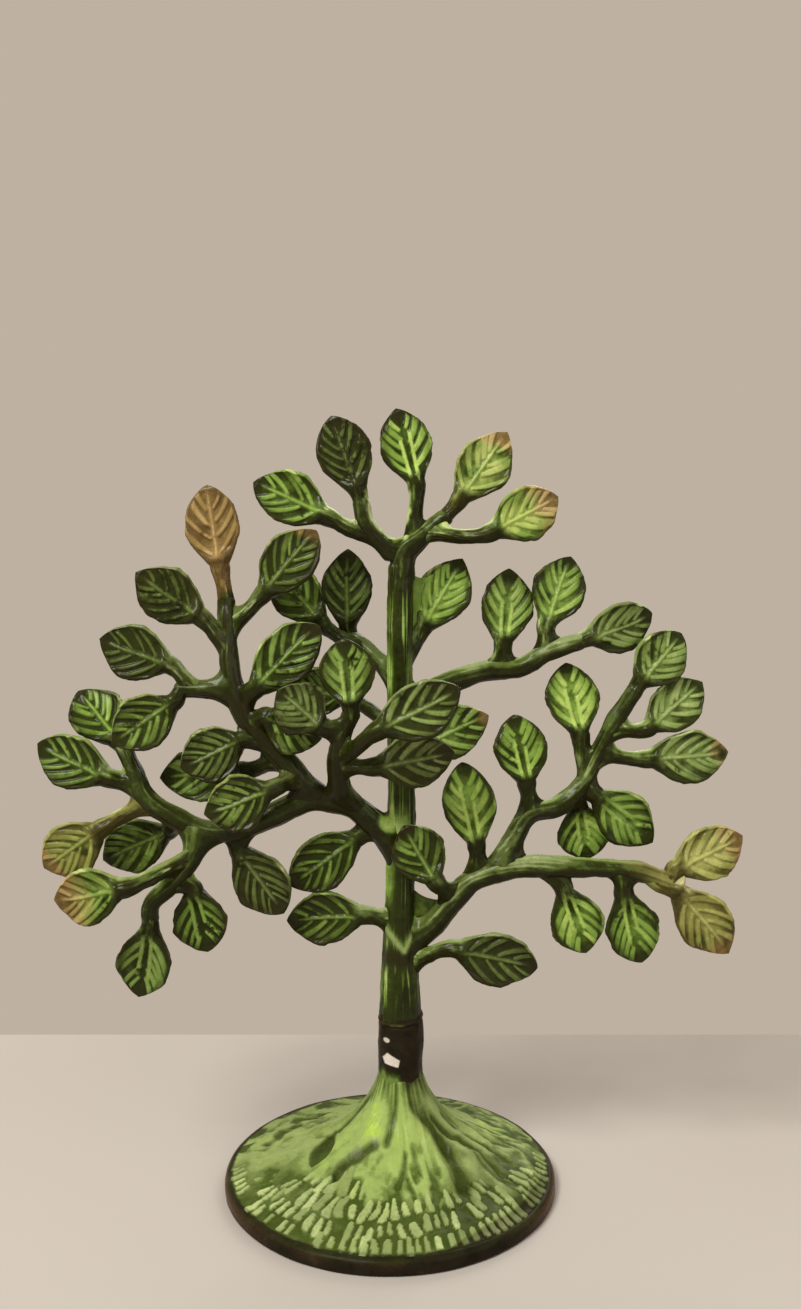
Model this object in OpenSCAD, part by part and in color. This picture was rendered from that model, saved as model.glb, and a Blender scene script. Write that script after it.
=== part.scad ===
// Table-top clay tree: a round slab base with a root mound, a straight trunk in a
// dark neck collar, eleven curved limbs (the top two in one fork) and a crown of
// cupped leaves.
// Every limb and every leaf stem ends in a peg that sits in a socket of the piece
// that carries it. Millimetres, +Z up, front towards -Y, origin under the slab's centre.

/* [Base] */
// Radius of the round slab
slab_r = 63.5; // [58:0.5:75]
// Height of the slab's rim
rim_h = 5.5; // [5:0.5:8]
// Distance of the trunk's axis to the right of the slab's centre
trunk_x = 4; // [0:0.5:6]
// Height at which the mound meets the neck collar
mound_h = 40; // [32:1:46]

/* [Trunk] */
// Height at which the neck collar ends and the trunk's shoulder rests
collar_top = 65; // [60:1:68]
// Radius of the trunk just above the collar
trunk_foot_r = 7.8; // [7:0.1:9]
// Radius of the trunk at its top
trunk_top_r = 4.6; // [4.4:0.1:5.5]
// Radius of the armature rod in the trunk's foot
rod_r = 1.5; // [1:0.1:2]

/* [Leaves] */
// Width of every leaf blade
leaf_w = 20; // [16:0.5:22]
// Thickness of a blade along its midrib
leaf_t = 3; // [2.4:0.1:3.6]
// How far the blade's edges stand in front of its midrib
leaf_cup = 1.6; // [0:0.1:2.4]
// Radius of a leaf's stem
stem_r = 2.9; // [2.2:0.1:3.1]

/* [Joints] */
// Gap between a peg or shoulder and its socket
fit_gap = 0.1; // [0.05:0.05:0.2]
// Radius of a limb's peg
limb_peg_r = 1.8; // [1.5:0.1:2]
// Radius of a leaf's peg
leaf_peg_r = 1.2; // [1:0.1:1.4]

/* [Hidden] */
$fn = 96;
BARK = "darkolivegreen";
LEAF = "olivedrab";
TAN_LEAF = "tan";

// Limbs. Each row: arm, node it belongs to, what carries it, the place it leaves from
// (a height on the trunk, or a position along the carrying arm counted in route
// points), the route's points about the trunk's axis, root radius, end radius.
ARMS = [
    ["crown_right_arm", "crown_fork", "trunk", 236,
        [[2, 0, 243], [7, 0, 248], [12, 0, 252], [17, -1, 256]], 4.6, 3.1],
    ["crown_left_arm", "crown_fork", "crown_right_arm", 0.75,
        [[-5, -1, 244], [-11, -3, 250], [-14, -4, 255], [-15, -5, 261]], 4, 3.1],
    ["upper_right_limb", "upper_right_limb", "trunk", 181,
        [[15, 3, 190], [31, 4, 196], [47, 3, 198], [57, 1, 204], [69, -1, 208]], 4.4, 3.3],
    ["back_limb", "back_limb", "trunk", 190,
        [[-9, 8, 201], [-20, 16, 210]], 3.6, 3.1],
    ["lower_right_limb", "lower_right_limb", "trunk", 89,
        [[11, -1, 97], [20, -3, 108], [29, -5, 117], [46, -7, 122], [66, -8, 122],
         [87, -8, 121], [102, -8, 117]], 5, 3.3],
    ["rising_right_limb", "rising_right_limb", "lower_right_limb", 3.5,
        [[44, -4, 133], [50, -1, 141], [62, 2, 144], [71, 3, 152], [77, 3, 164],
         [83, 2, 176], [91, 0, 189]], 4.2, 3.1],
    ["lower_left_limb", "lower_left_limb", "trunk", 127,
        [[-9, -2, 136], [-19, -5, 145], [-34, -9, 148], [-49, -12, 142], [-62, -14, 137],
         [-75, -15, 138], [-88, -15, 144], [-96, -14, 150], [-100, -12, 158],
         [-105, -10, 168]], 5.2, 3.1],
    ["left_droop_limb", "left_droop_limb", "lower_left_limb", 5.9,
        [[-78, -17, 127], [-85, -18, 118], [-92, -18, 111], [-93, -17, 105]], 4, 3.1],
    ["upper_left_limb", "upper_left_limb", "lower_left_limb", 2.9,
        [[-38, -13, 157], [-49, -14, 169], [-57, -15, 178], [-61, -15, 187],
         [-64, -14, 199], [-65, -12, 212], [-66, -10, 223]], 4.4, 3.2],
    ["left_twig", "left_twig", "upper_left_limb", 4.2,
        [[-73, -15, 190], [-82, -14, 190]], 3.4, 3],
    ["front_limb", "front_limb", "lower_left_limb", 2.1,
        [[-23, -14, 154], [-23, -20, 164], [-21, -24, 174], [-18, -25, 181]], 4.2, 3.2]
];

// Leaves. Each row: node, what carries it, the place it leaves from, the stem's
// [angle, lean, length], the blade's [angle, lean, length], the blade's roll.
// Angles are seen from the front, 0 to the right and 90 up; lean is towards the front.
LEAVES = [
    ["crown_left_leaf_1", "crown_left_arm", 2, [160, 0, 19], [155, 0, 31], 0],
    ["crown_left_leaf_2", "crown_left_arm", 4, [105, 5, 5], [110, 5, 30], 0],
    ["crown_right_leaf_1", "crown_right_arm", 1.8, [90, 0, 23], [105, 0, 30], 0],
    ["crown_right_leaf_2", "crown_right_arm", 4, [50, 0, 10], [55, 5, 31], 0],
    ["crown_right_leaf_3", "crown_right_arm", 2.75, [357, 25, 27], [28, -6, 29], 10],
    ["back_limb_leaves", "back_limb", 2, [105, 0, 5], [90, 0, 31], 0],
    ["back_limb_leaves", "back_limb", 1.6, [150, -10, 19], [130, 0, 31], 0],
    ["back_leaf_1", "trunk", 201, [55, -20, 17], [60, 0, 31], 0],
    ["back_leaf_2", "trunk", 173, [152, -35, 32], [168, 0, 22], 0],
    ["upper_left_leaf_1", "upper_left_limb", 7, [100, 0, 14], [100, 0, 31], 0],
    ["upper_left_leaf_2", "upper_left_limb", 6.1, [45, -10, 19], [50, 0, 31], 0],
    ["upper_left_leaf_3", "upper_left_limb", 5.6, [135, 10, 15], [145, 10, 28], 0],
    ["upper_left_leaf_4", "upper_left_limb", 3.6, [50, 20, 10], [45, 0, 33], 0],
    ["upper_left_leaf_5", "upper_left_limb", 2.9, [20, 20, 8], [340, 15, 22], 0],
    ["upper_left_leaf_6", "upper_left_limb", 2.2, [180, 10, 9], [205, 10, 24], 0],
    ["inner_left_leaves", "upper_left_limb", 1.6, [200, -20, 18], [185, 0, 32], 0],
    ["inner_left_leaves", "upper_left_limb", 1, [200, 40, 14], [200, 10, 25], 0],
    ["left_twig_leaves", "left_twig", 1.6, [130, 0, 12], [160, 0, 28], 0],
    ["left_twig_leaves", "left_twig", 2, [240, 20, 6], [215, 10, 27], 0],
    ["left_tip_leaves", "lower_left_limb", 10, [135, -10, 4], [130, -10, 25], 25],
    ["left_tip_leaves", "lower_left_limb", 8.5, [165, 0, 13], [155, 0, 29], 0],
    ["lower_left_leaf_1", "lower_left_limb", 7.7, [210, 0, 22], [215, 0, 25], 0],
    ["lower_left_leaf_2", "lower_left_limb", 6.5, [215, -45, 14], [205, 0, 27], 0],
    ["lower_left_leaf_3", "lower_left_limb", 4.7, [255, 0, 9], [305, 0, 29], 0],
    ["lower_left_leaf_4", "lower_left_limb", 1, [205, 0, 9], [215, 10, 31], 0],
    ["left_droop_leaf_1", "left_droop_limb", 1.1, [197, 38, 27], [190, 0, 25], 0],
    ["left_droop_leaf_2", "left_droop_limb", 4, [270, 0, 4], [260, 0, 26], 0],
    ["left_droop_leaf_3", "left_droop_limb", 1.8, [325, -10, 8], [282, 0, 24], 0],
    ["front_leaf_1", "front_limb", 4, [95, 0, 4], [95, 10, 24], 0],
    ["front_leaf_2", "front_limb", 3, [158, 15, 9], [140, 10, 20], 0],
    ["front_leaf_3", "front_limb", 2.2, [34, 38, 24], [27, 0, 32], 0],
    ["front_leaf_4", "front_limb", 1.8, [0, 15, 15], [10, 0, 29], 0],
    ["trunk_leaf_1", "trunk", 163, [32, 40, 10], [25, 0, 30], 0],
    ["trunk_leaf_2", "trunk", 98, [163, 10, 16], [185, 0, 29], 0],
    ["trunk_leaf_3", "trunk", 82, [21, 15, 24], [346, 0, 32], 0],
    ["lower_right_leaf_1", "lower_right_limb", 2.1, [132, 30, 14], [120, 0, 23], 0],
    ["lower_right_leaf_2", "lower_right_limb", 3, [90, 0, 14], [100, 0, 31], 0],
    ["lower_right_leaf_3", "lower_right_limb", 4.5, [305, 0, 12], [290, 0, 25], 0],
    ["lower_right_leaf_4", "lower_right_limb", 5.9, [270, 0, 10], [285, 0, 27], 0],
    ["right_tip_leaves", "lower_right_limb", 7, [55, 0, 6], [25, 0, 28], 0],
    ["right_tip_leaves", "lower_right_limb", 6.6, [325, 0, 10], [310, 0, 31], 0],
    ["rising_right_leaf_1", "rising_right_limb", 2, [95, 0, 13], [100, 0, 26], 0],
    ["rising_right_leaf_2", "rising_right_limb", 4.5, [106, 0, 15], [100, 0, 28], 0],
    ["rising_inner_leaves", "rising_right_limb", 3.7, [285, -30, 8], [280, 0, 21], 0],
    ["rising_inner_leaves", "rising_right_limb", 4.2, [305, 0, 8], [320, 0, 29], 0],
    ["rising_right_leaf_3", "rising_right_limb", 7, [55, 0, 4], [50, 0, 25], 0],
    ["far_right_leaves", "rising_right_limb", 5.8, [5, 0, 16], [40, 0, 27], 0],
    ["far_right_leaves", "rising_right_limb", 5, [355, 0, 21], [5, 0, 31], 0],
    ["upper_right_leaf_1", "upper_right_limb", 2.5, [85, 0, 11], [85, 0, 29], 0],
    ["upper_right_leaf_2", "upper_right_limb", 4, [90, 0, 11], [70, 0, 28], 0],
    ["upper_right_leaf_3", "upper_right_limb", 5, [20, 0, 4], [20, 0, 27], 20]
];

// Leaves that are worn to tan
TAN_NODES = ["upper_left_leaf_1", "lower_left_leaf_1", "left_droop_leaf_1", "right_tip_leaves"];

BASE_NODES = ["base_plinth", "root_mound", "neck_collar", "trunk", "trunk_rod"];
LIMB_NODES = [for (i = [0 : len(ARMS) - 1]) if (i == 0 || ARMS[i - 1][1] != ARMS[i][1]) ARMS[i][1]];
LEAF_NODES = [for (i = [0 : len(LEAVES) - 1]) if (i == 0 || LEAVES[i - 1][0] != LEAVES[i][0]) LEAVES[i][0]];

// Base and trunk heights and radii that follow from the sizes above
mound_floor = rim_h - 1.5;
mound_r = slab_r - 3.5;
mound_spread = slab_r + 6.5;
slab_edge = 2;
slab_chamfer = 1;
collar_r = 8.8;
tenon_r = 5;
tenon_foot = 20;
trunk_top = 238.2;
rod_foot = 2.5;
rod_top = 75;
// Share of the collar's height, and how far its wall stands out from collar_r there
COLLAR_WALL = [[0, -0.1], [0.24, -0.2], [0.52, 0.1], [0.8, -0.2]];
// Height and radius of the trunk where its taper changes
TRUNK_TAPER = [[collar_top, trunk_foot_r], [73, 7.4], [88, 6.3], [108, 5.4],
    [150, 5.1], [trunk_top, trunk_top_r]];

// Limb and leaf sections
SIDES = 8;
STEPS = 3;
SEAT_SHARE = 0.55;
END_PEG = 3.5;
PEG_PAST_AXIS = 1.4;
MIN_STEM_ANGLE = 60;
// Where a ring's diagonal points stand, as shares of its half width and half thickness
ROUND_CORNER = [0.71, 0.71];
BLADE_CORNER = [0.62, 0.95];
// How far the tip curls back, how deep the midrib's groove is, the tip's half width,
// and the share of the blade over which the stem flattens into it
LEAF_CURL = 2;
LEAF_GROOVE = 0.5;
TIP_HALF_W = 0.8;
FLATTEN_BY = 0.2;
STEM_STEPS = [0, 0.3, 0.65];
BLADE_STEPS = [0, 0.1, 0.24, 0.42, 0.6, 0.76, 0.9, 1];

// ---- Vectors and curves ----

function unit(v) = v / norm(v);

function heading(angle, lean) = [cos(angle) * cos(lean), -sin(lean), sin(angle) * cos(lean)];

function across(axis, normal) = unit(normal - (normal * axis) * axis);

// A point on the smooth curve through the points p, with t counted in points
function spline(p, t) =
    let (last = len(p) - 1, i = min(floor(t), last - 1), u = t - i)
    let (a = p[max(i - 1, 0)], b = p[i], c = p[i + 1], d = p[min(i + 2, last)])
    0.5 * (2 * b + (c - a) * u + (2 * a - 5 * b + 4 * c - d) * u * u
        + (3 * b - a - 3 * c + d) * u * u * u);

function spline_axis(p, t) =
    unit(spline(p, min(t + 0.1, len(p) - 1)) - spline(p, max(t - 0.1, 0)));

function bezier(a, b, c, d, t) =
    pow(1 - t, 3) * a + 3 * pow(1 - t, 2) * t * b + 3 * (1 - t) * t * t * c + pow(t, 3) * d;

// ---- Where each piece is carried ----

function arm_row(arm) = ARMS[search([arm], ARMS)[0]];

function is_fused(row) = row[2] != "trunk" && arm_row(row[2])[1] == row[1];

function carrier_point(carrier, place) =
    carrier == "trunk" ? [0, 0, place] : spline(arm_path(arm_row(carrier)), place);

function carrier_r(carrier, place) =
    carrier == "trunk" ? lookup(place, TRUNK_TAPER) : arm_r(arm_row(carrier), place);

function carrier_axis(carrier, place) =
    carrier == "trunk" ? [0, 0, 1] : spline_axis(arm_path(arm_row(carrier)), place);

function at_end(carrier, place) =
    carrier != "trunk" && place == len(arm_row(carrier)[4]);

// The direction d turned away from the carrier's axis a, to MIN_STEM_ANGLE or more
function steep(d, a) =
    let (along = d * a)
    abs(along) > cos(MIN_STEM_ANGLE) ? unit(sign(along) / tan(MIN_STEM_ANGLE) * a + across(a, d)) : d;

// The direction in which a leaf's stem leaves its carrier
function stem_axis(row) =
    let (d = heading(row[3][0], row[3][1]))
    at_end(row[1], row[2]) ? d : steep(d, carrier_axis(row[1], row[2]));

// Distance from the carrier's axis to the shoulder of what it carries
function seat(carrier, place) =
    at_end(carrier, place) ? 0 : SEAT_SHARE * carrier_r(carrier, place);

function peg_length(carrier, place) =
    at_end(carrier, place) ? END_PEG : seat(carrier, place) + PEG_PAST_AXIS;

// An arm's route, from its shoulder on
function arm_path(row) =
    let (root = carrier_point(row[2], row[3]))
    concat([root + (is_fused(row) ? 0 : seat(row[2], row[3])) * unit(row[4][0] - root)], row[4]);

function arm_r(row, t) = row[5] + (row[6] - row[5]) * t / len(row[4]);

// ---- Swept solids ----

// A ring of eight points: round when flat is 0, a cupped blade section when it is 1
function ring(centre, axis, normal, half_w, half_t, flat = 0, cup = 0) =
    let (n = across(axis, normal), s = cross(axis, n))
    let (corner = ROUND_CORNER + flat * (BLADE_CORNER - ROUND_CORNER), x = corner[0], y = corner[1])
    let (mid = half_t - LEAF_GROOVE * flat)
    [for (p = [[1, 0, 1], [x, y, x * x], [0, mid / half_t, 0], [-x, y, x * x],
               [-1, 0, 1], [-x, -y, x * x], [0, -1, 0], [x, -y, x * x]])
        centre + p[0] * half_w * s + (p[1] * half_t + p[2] * cup) * n];

// Joins the rings, which all have SIDES points, and closes both ends
module skin(rings) {
    points = [for (r = rings) each r];
    last = (len(rings) - 1) * SIDES;
    walls = [for (k = [0 : len(rings) - 2]) for (i = [0 : SIDES - 1])
        let (a = k * SIDES + i, b = k * SIDES + (i + 1) % SIDES)
        each [[a, b, a + SIDES], [b, b + SIDES, a + SIDES]]];
    ends = [[for (i = [0 : SIDES - 1]) SIDES - 1 - i], [for (i = [0 : SIDES - 1]) last + i]];
    polyhedron(points, concat(walls, ends));
}

// The peg below a shoulder, as two rings
function peg_rings(shoulder, axis, normal, peg_r, length) =
    [for (d = [length, 0]) ring(shoulder - d * axis, axis, normal, peg_r, peg_r)];

// ---- Limbs ----

// A limb's rings as far as the route point last, all grown by the same amount
function arm_rings(row, last, grow = 0) =
    let (path = arm_path(row), start = spline_axis(path, 0))
    concat(
        is_fused(row) ? [] : peg_rings(path[0], start, [0, -1, 0], limb_peg_r + grow,
            peg_length(row[2], row[3]) + grow),
        [for (k = [0 : STEPS * last])
            let (t = k / STEPS, r = arm_r(row, t) + grow)
            ring(spline(path, t), spline_axis(path, t), [0, -1, 0], r, r)]);

// The sockets of a carrier: the roots of all that it carries, grown by the gap
module sockets(carrier) {
    for (row = ARMS) if (row[2] == carrier && !is_fused(row)) skin(arm_rings(row, 1, fit_gap));
    for (row = LEAVES) if (row[1] == carrier) skin(stem_rings(row, fit_gap));
}

module limb(name) {
    color(BARK) translate([trunk_x, 0, 0]) difference() {
        for (row = ARMS) if (row[1] == name) skin(arm_rings(row, len(row[4])));
        for (row = ARMS) if (row[1] == name) sockets(row[0]);
    }
}

// ---- Leaves ----

// Half the blade's width at u along it, as a share of its full half width
function blade_outline(u) = pow(sin(180 * u), u < 0.5 ? 0.6 : 0.8);

// Where a leaf's stem ends and its blade begins
function heart(row) = carrier_point(row[1], row[2]) + row[3][2] * heading(row[3][0], row[3][1]);

// The direction that a blade faces
function blade_normal(row) =
    let (b = heading(row[4][0], row[4][1]), front = across(b, [0, -1, 0]))
    cos(row[5]) * front + sin(row[5]) * cross(b, front);

// A leaf's peg and stem as rings, all grown by the same amount
function stem_rings(row, grow = 0) =
    let (d = stem_axis(row), b = heading(row[4][0], row[4][1]), n = blade_normal(row))
    let (foot = carrier_point(row[1], row[2]) + seat(row[1], row[2]) * d, end = heart(row))
    let (pull = norm(end - foot) / 3, r = stem_r + grow)
    concat(
        peg_rings(foot, d, n, leaf_peg_r + grow, peg_length(row[1], row[2]) + grow),
        [for (t = STEM_STEPS)
            ring(bezier(foot, foot + pull * d, end - pull * b, end, t),
                unit((1 - t) * d + t * b), n, r, r)]);

function blade_rings(row) =
    let (b = heading(row[4][0], row[4][1]), n = blade_normal(row))
    [for (u = BLADE_STEPS)
        let (w = max(leaf_w / 2 * blade_outline(u), u < 0.5 ? stem_r : TIP_HALF_W))
        let (flat = min(1, u / FLATTEN_BY), t = leaf_t / 2 + (stem_r - leaf_t / 2) * (1 - flat))
        ring(heart(row) + row[4][2] * u * b - LEAF_CURL * u * u * n, b, n,
            w, u < 1 ? t : t / 2, u < 1 ? flat : 0, leaf_cup * pow(w / leaf_w * 2, 2) * flat)];

module leaf_group(name) {
    worn = len([for (tan = TAN_NODES) if (tan == name) 1]) > 0;
    color(worn ? TAN_LEAF : LEAF) translate([trunk_x, 0, 0])
        for (row = LEAVES) if (row[0] == name) skin(concat(stem_rings(row), blade_rings(row)));
}

// ---- Base, collar and trunk ----

// Height of the mound at the distance r from the trunk's axis
function mound_z(r) =
    rim_h + (mound_h - rim_h) * pow((1 / r - 1 / mound_spread) / (1 / collar_r - 1 / mound_spread), 0.8);

module base_plinth() {
    color("darkslategray") difference() {
        rotate_extrude() {
            square([slab_r - slab_edge, rim_h]);
            translate([0, slab_chamfer]) square([slab_r, rim_h - slab_chamfer - slab_edge]);
            translate([slab_r - slab_edge, rim_h - slab_edge]) circle(r = slab_edge);
            polygon([[0, 0], [slab_r - slab_chamfer, 0], [slab_r, slab_chamfer], [0, slab_chamfer]]);
        }
        translate([0, 0, mound_floor]) cylinder(r = mound_r + fit_gap, h = rim_h);
        translate([trunk_x, 0, rod_foot - fit_gap]) cylinder(r = rod_r + fit_gap, h = rim_h);
    }
}

module root_mound() {
    last = 14;
    reach = mound_spread - 0.5 - collar_r;
    slope = [for (i = [0 : last]) let (r = collar_r + reach * pow(i / last, 1.6)) [r, mound_z(r)]];
    color("yellowgreen") difference() {
        intersection() {
            translate([trunk_x, 0, 0]) rotate_extrude()
                polygon(concat([[0, mound_floor], [0, mound_h]], slope, [[slope[last][0], mound_floor]]));
            translate([0, 0, mound_floor]) cylinder(r = mound_r, h = mound_h);
        }
        translate([trunk_x, 0, tenon_foot - fit_gap]) cylinder(r = tenon_r + fit_gap, h = mound_h);
        translate([trunk_x, 0, 0]) cylinder(r = rod_r + fit_gap, h = mound_h);
    }
}

module neck_collar() {
    wall = [for (step = COLLAR_WALL) [collar_r + step[1], mound_h + step[0] * (collar_top - mound_h)]];
    color("black") translate([trunk_x, 0, 0]) rotate_extrude()
        polygon(concat([[tenon_r + fit_gap, mound_h]], wall,
            [[trunk_foot_r + 0.1, collar_top], [tenon_r + fit_gap, collar_top]]));
}

module trunk() {
    profile = [for (step = TRUNK_TAPER) [step[1], step[0]]];
    color(BARK) translate([trunk_x, 0, 0]) difference() {
        rotate_extrude()
            polygon(concat([[0, tenon_foot], [tenon_r, tenon_foot], [tenon_r, collar_top]],
                profile, [[0, trunk_top]]));
        cylinder(r = rod_r + fit_gap, h = rod_top + fit_gap);
        sockets("trunk");
    }
}

module trunk_rod() {
    color("silver") translate([trunk_x, 0, rod_foot]) cylinder(r = rod_r, h = rod_top - rod_foot);
}

base_plinth();
root_mound();
neck_collar();
trunk();
trunk_rod();
for (name = LIMB_NODES) limb(name);
for (name = LEAF_NODES) leaf_group(name);
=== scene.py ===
"""Looks of the table-top clay tree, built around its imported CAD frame.

Every limb, leaf, collar and base piece is a dense modelled skin that replaces the plain
CAD node of the same name. Places are in millimetres about the trunk's axis and are turned
into metres when a mesh is made. The limb and leaf rows repeat the ones in part.scad.
"""

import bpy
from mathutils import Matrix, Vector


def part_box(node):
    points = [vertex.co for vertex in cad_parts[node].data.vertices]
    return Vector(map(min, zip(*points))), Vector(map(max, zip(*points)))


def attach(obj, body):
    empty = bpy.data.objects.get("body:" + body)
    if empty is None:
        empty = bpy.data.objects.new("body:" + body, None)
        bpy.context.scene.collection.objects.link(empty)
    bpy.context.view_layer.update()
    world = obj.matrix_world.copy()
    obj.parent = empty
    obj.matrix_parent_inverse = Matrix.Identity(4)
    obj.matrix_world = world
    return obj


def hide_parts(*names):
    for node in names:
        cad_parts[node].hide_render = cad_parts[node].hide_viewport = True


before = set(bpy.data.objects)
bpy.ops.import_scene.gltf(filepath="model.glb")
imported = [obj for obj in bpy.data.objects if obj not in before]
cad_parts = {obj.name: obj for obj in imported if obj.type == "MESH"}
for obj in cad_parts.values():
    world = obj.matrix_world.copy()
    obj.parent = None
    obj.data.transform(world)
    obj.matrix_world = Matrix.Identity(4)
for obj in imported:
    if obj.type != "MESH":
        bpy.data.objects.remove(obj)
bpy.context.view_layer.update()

import math
from collections import namedtuple

import bpy
import numpy as np
from mathutils import Vector

MM = 0.001
BODY = "root"
FRONT = np.array([0, -1.0, 0])
UP = np.array([0, 0, 1.0])


def box_mm(node):
    low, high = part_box(node)
    return np.array(low) / MM, np.array(high) / MM


# ---- sizes from the frame
slab_low, slab_high = box_mm("base_plinth")
SLAB_R = (slab_high[0] - slab_low[0]) / 2
RIM_H = slab_high[2]
MOUND_H = box_mm("root_mound")[1][2]
trunk_low, trunk_high = box_mm("trunk")
TRUNK_X = (trunk_low[0] + trunk_high[0]) / 2
TRUNK_TOP = trunk_high[2]
collar_low, collar_high = box_mm("neck_collar")
COLLAR_R = (collar_high[0] - collar_low[0]) / 2
COLLAR_FOOT, COLLAR_TOP = collar_low[2], collar_high[2]

TRUNK_TAPER = [[65, 7.8], [73, 7.4], [88, 6.3], [108, 5.4], [150, 5.1], [238.2, 4.6]]
LEAF_W, LEAF_T, LEAF_CUP, LEAF_CURL, STEM_R = 20, 3, 1.6, 2, 2.9

# Arm, carrier, place on it, points, and radius at the root and the end
ARM_ROWS = [
    ["crown_right_arm", "trunk", 236,
     [[2, 0, 243], [7, 0, 248], [12, 0, 252], [17, -1, 256]], 4.6, 3.1],
    ["crown_left_arm", "crown_right_arm", 0.75,
     [[-5, -1, 244], [-11, -3, 250], [-14, -4, 255], [-15, -5, 261]], 4, 3.1],
    ["upper_right_limb", "trunk", 181,
     [[15, 3, 190], [31, 4, 196], [47, 3, 198], [57, 1, 204], [69, -1, 208]], 4.4, 3.3],
    ["back_limb", "trunk", 190,
     [[-9, 8, 201], [-20, 16, 210]], 3.6, 3.1],
    ["lower_right_limb", "trunk", 89,
     [[11, -1, 97], [20, -3, 108], [29, -5, 117], [46, -7, 122], [66, -8, 122],
      [87, -8, 121], [102, -8, 117]], 5, 3.3],
    ["rising_right_limb", "lower_right_limb", 3.5,
     [[44, -4, 133], [50, -1, 141], [62, 2, 144], [71, 3, 152], [77, 3, 164],
      [83, 2, 176], [91, 0, 189]], 4.2, 3.1],
    ["lower_left_limb", "trunk", 127,
     [[-9, -2, 136], [-19, -5, 145], [-34, -9, 148], [-49, -12, 142], [-62, -14, 137],
      [-75, -15, 138], [-88, -15, 144], [-96, -14, 150], [-100, -12, 158],
      [-105, -10, 168]], 5.2, 3.1],
    ["left_droop_limb", "lower_left_limb", 5.9,
     [[-78, -17, 127], [-85, -18, 118], [-92, -18, 111], [-93, -17, 105]], 4, 3.1],
    ["upper_left_limb", "lower_left_limb", 2.9,
     [[-38, -13, 157], [-49, -14, 169], [-57, -15, 178], [-61, -15, 187],
      [-64, -14, 199], [-65, -12, 212], [-66, -10, 223]], 4.4, 3.2],
    ["left_twig", "upper_left_limb", 4.2,
     [[-73, -15, 190], [-82, -14, 190]], 3.4, 3],
    ["front_limb", "lower_left_limb", 2.1,
     [[-23, -14, 154], [-23, -20, 164], [-21, -24, 174], [-18, -25, 181]], 4.2, 3.2],
]

# Carrier and CAD node of some leaves; a name that ends in _ is numbered. Then for each leaf its
# place, its stem's and its blade's angle, lean and length, and its roll if it has one
LEAF_GROUPS = [
    ["crown_left_arm", "crown_left_leaf_",
     [[2, 160, 0, 19, 155, 0, 31], [4, 105, 5, 5, 110, 5, 30]]],
    ["crown_right_arm", "crown_right_leaf_",
     [[1.8, 90, 0, 23, 105, 0, 30], [4, 50, 0, 10, 55, 5, 31], [2.75, 357, 25, 27, 28, -6, 29, 10]]],
    ["back_limb", "back_limb_leaves",
     [[2, 105, 0, 5, 90, 0, 31], [1.6, 150, -10, 19, 130, 0, 31]]],
    ["trunk", "back_leaf_",
     [[201, 55, -20, 17, 60, 0, 31], [173, 152, -35, 32, 168, 0, 22]]],
    ["upper_left_limb", "upper_left_leaf_",
     [[7, 100, 0, 14, 100, 0, 31], [6.1, 45, -10, 19, 50, 0, 31], [5.6, 135, 10, 15, 145, 10, 28],
      [3.6, 50, 20, 10, 45, 0, 33], [2.9, 20, 20, 8, 340, 15, 22], [2.2, 180, 10, 9, 205, 10, 24]]],
    ["upper_left_limb", "inner_left_leaves",
     [[1.6, 200, -20, 18, 185, 0, 32], [1, 200, 40, 14, 200, 10, 25]]],
    ["left_twig", "left_twig_leaves",
     [[1.6, 130, 0, 12, 160, 0, 28], [2, 240, 20, 6, 215, 10, 27]]],
    ["lower_left_limb", "left_tip_leaves",
     [[10, 135, -10, 4, 130, -10, 25, 25], [8.5, 165, 0, 13, 155, 0, 29]]],
    ["lower_left_limb", "lower_left_leaf_",
     [[7.7, 210, 0, 22, 215, 0, 25], [6.5, 215, -45, 14, 205, 0, 27], [4.7, 255, 0, 9, 305, 0, 29],
      [1, 205, 0, 9, 215, 10, 31]]],
    ["left_droop_limb", "left_droop_leaf_",
     [[1.1, 197, 38, 27, 190, 0, 25], [4, 270, 0, 4, 260, 0, 26], [1.8, 325, -10, 8, 282, 0, 24]]],
    ["front_limb", "front_leaf_",
     [[4, 95, 0, 4, 95, 10, 24], [3, 158, 15, 9, 140, 10, 20], [2.2, 34, 38, 24, 27, 0, 32],
      [1.8, 0, 15, 15, 10, 0, 29]]],
    ["trunk", "trunk_leaf_",
     [[163, 32, 40, 10, 25, 0, 30], [98, 163, 10, 16, 185, 0, 29], [82, 21, 15, 24, 346, 0, 32]]],
    ["lower_right_limb", "lower_right_leaf_",
     [[2.1, 132, 30, 14, 120, 0, 23], [3, 90, 0, 14, 100, 0, 31], [4.5, 305, 0, 12, 290, 0, 25],
      [5.9, 270, 0, 10, 285, 0, 27]]],
    ["lower_right_limb", "right_tip_leaves",
     [[7, 55, 0, 6, 25, 0, 28], [6.6, 325, 0, 10, 310, 0, 31]]],
    ["rising_right_limb", "rising_right_leaf_",
     [[2, 95, 0, 13, 100, 0, 26], [4.5, 106, 0, 15, 100, 0, 28]]],
    ["rising_right_limb", "rising_inner_leaves",
     [[3.7, 285, -30, 8, 280, 0, 21], [4.2, 305, 0, 8, 320, 0, 29]]],
    ["rising_right_limb", "rising_right_leaf_",
     [[7, 55, 0, 4, 50, 0, 25]]],
    ["rising_right_limb", "far_right_leaves",
     [[5.8, 5, 0, 16, 40, 0, 27], [5, 355, 0, 21, 5, 0, 31]]],
    ["upper_right_limb", "upper_right_leaf_",
     [[2.5, 85, 0, 11, 85, 0, 29], [4, 90, 0, 11, 70, 0, 28], [5, 20, 0, 4, 20, 0, 27, 20]]],
]

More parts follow.
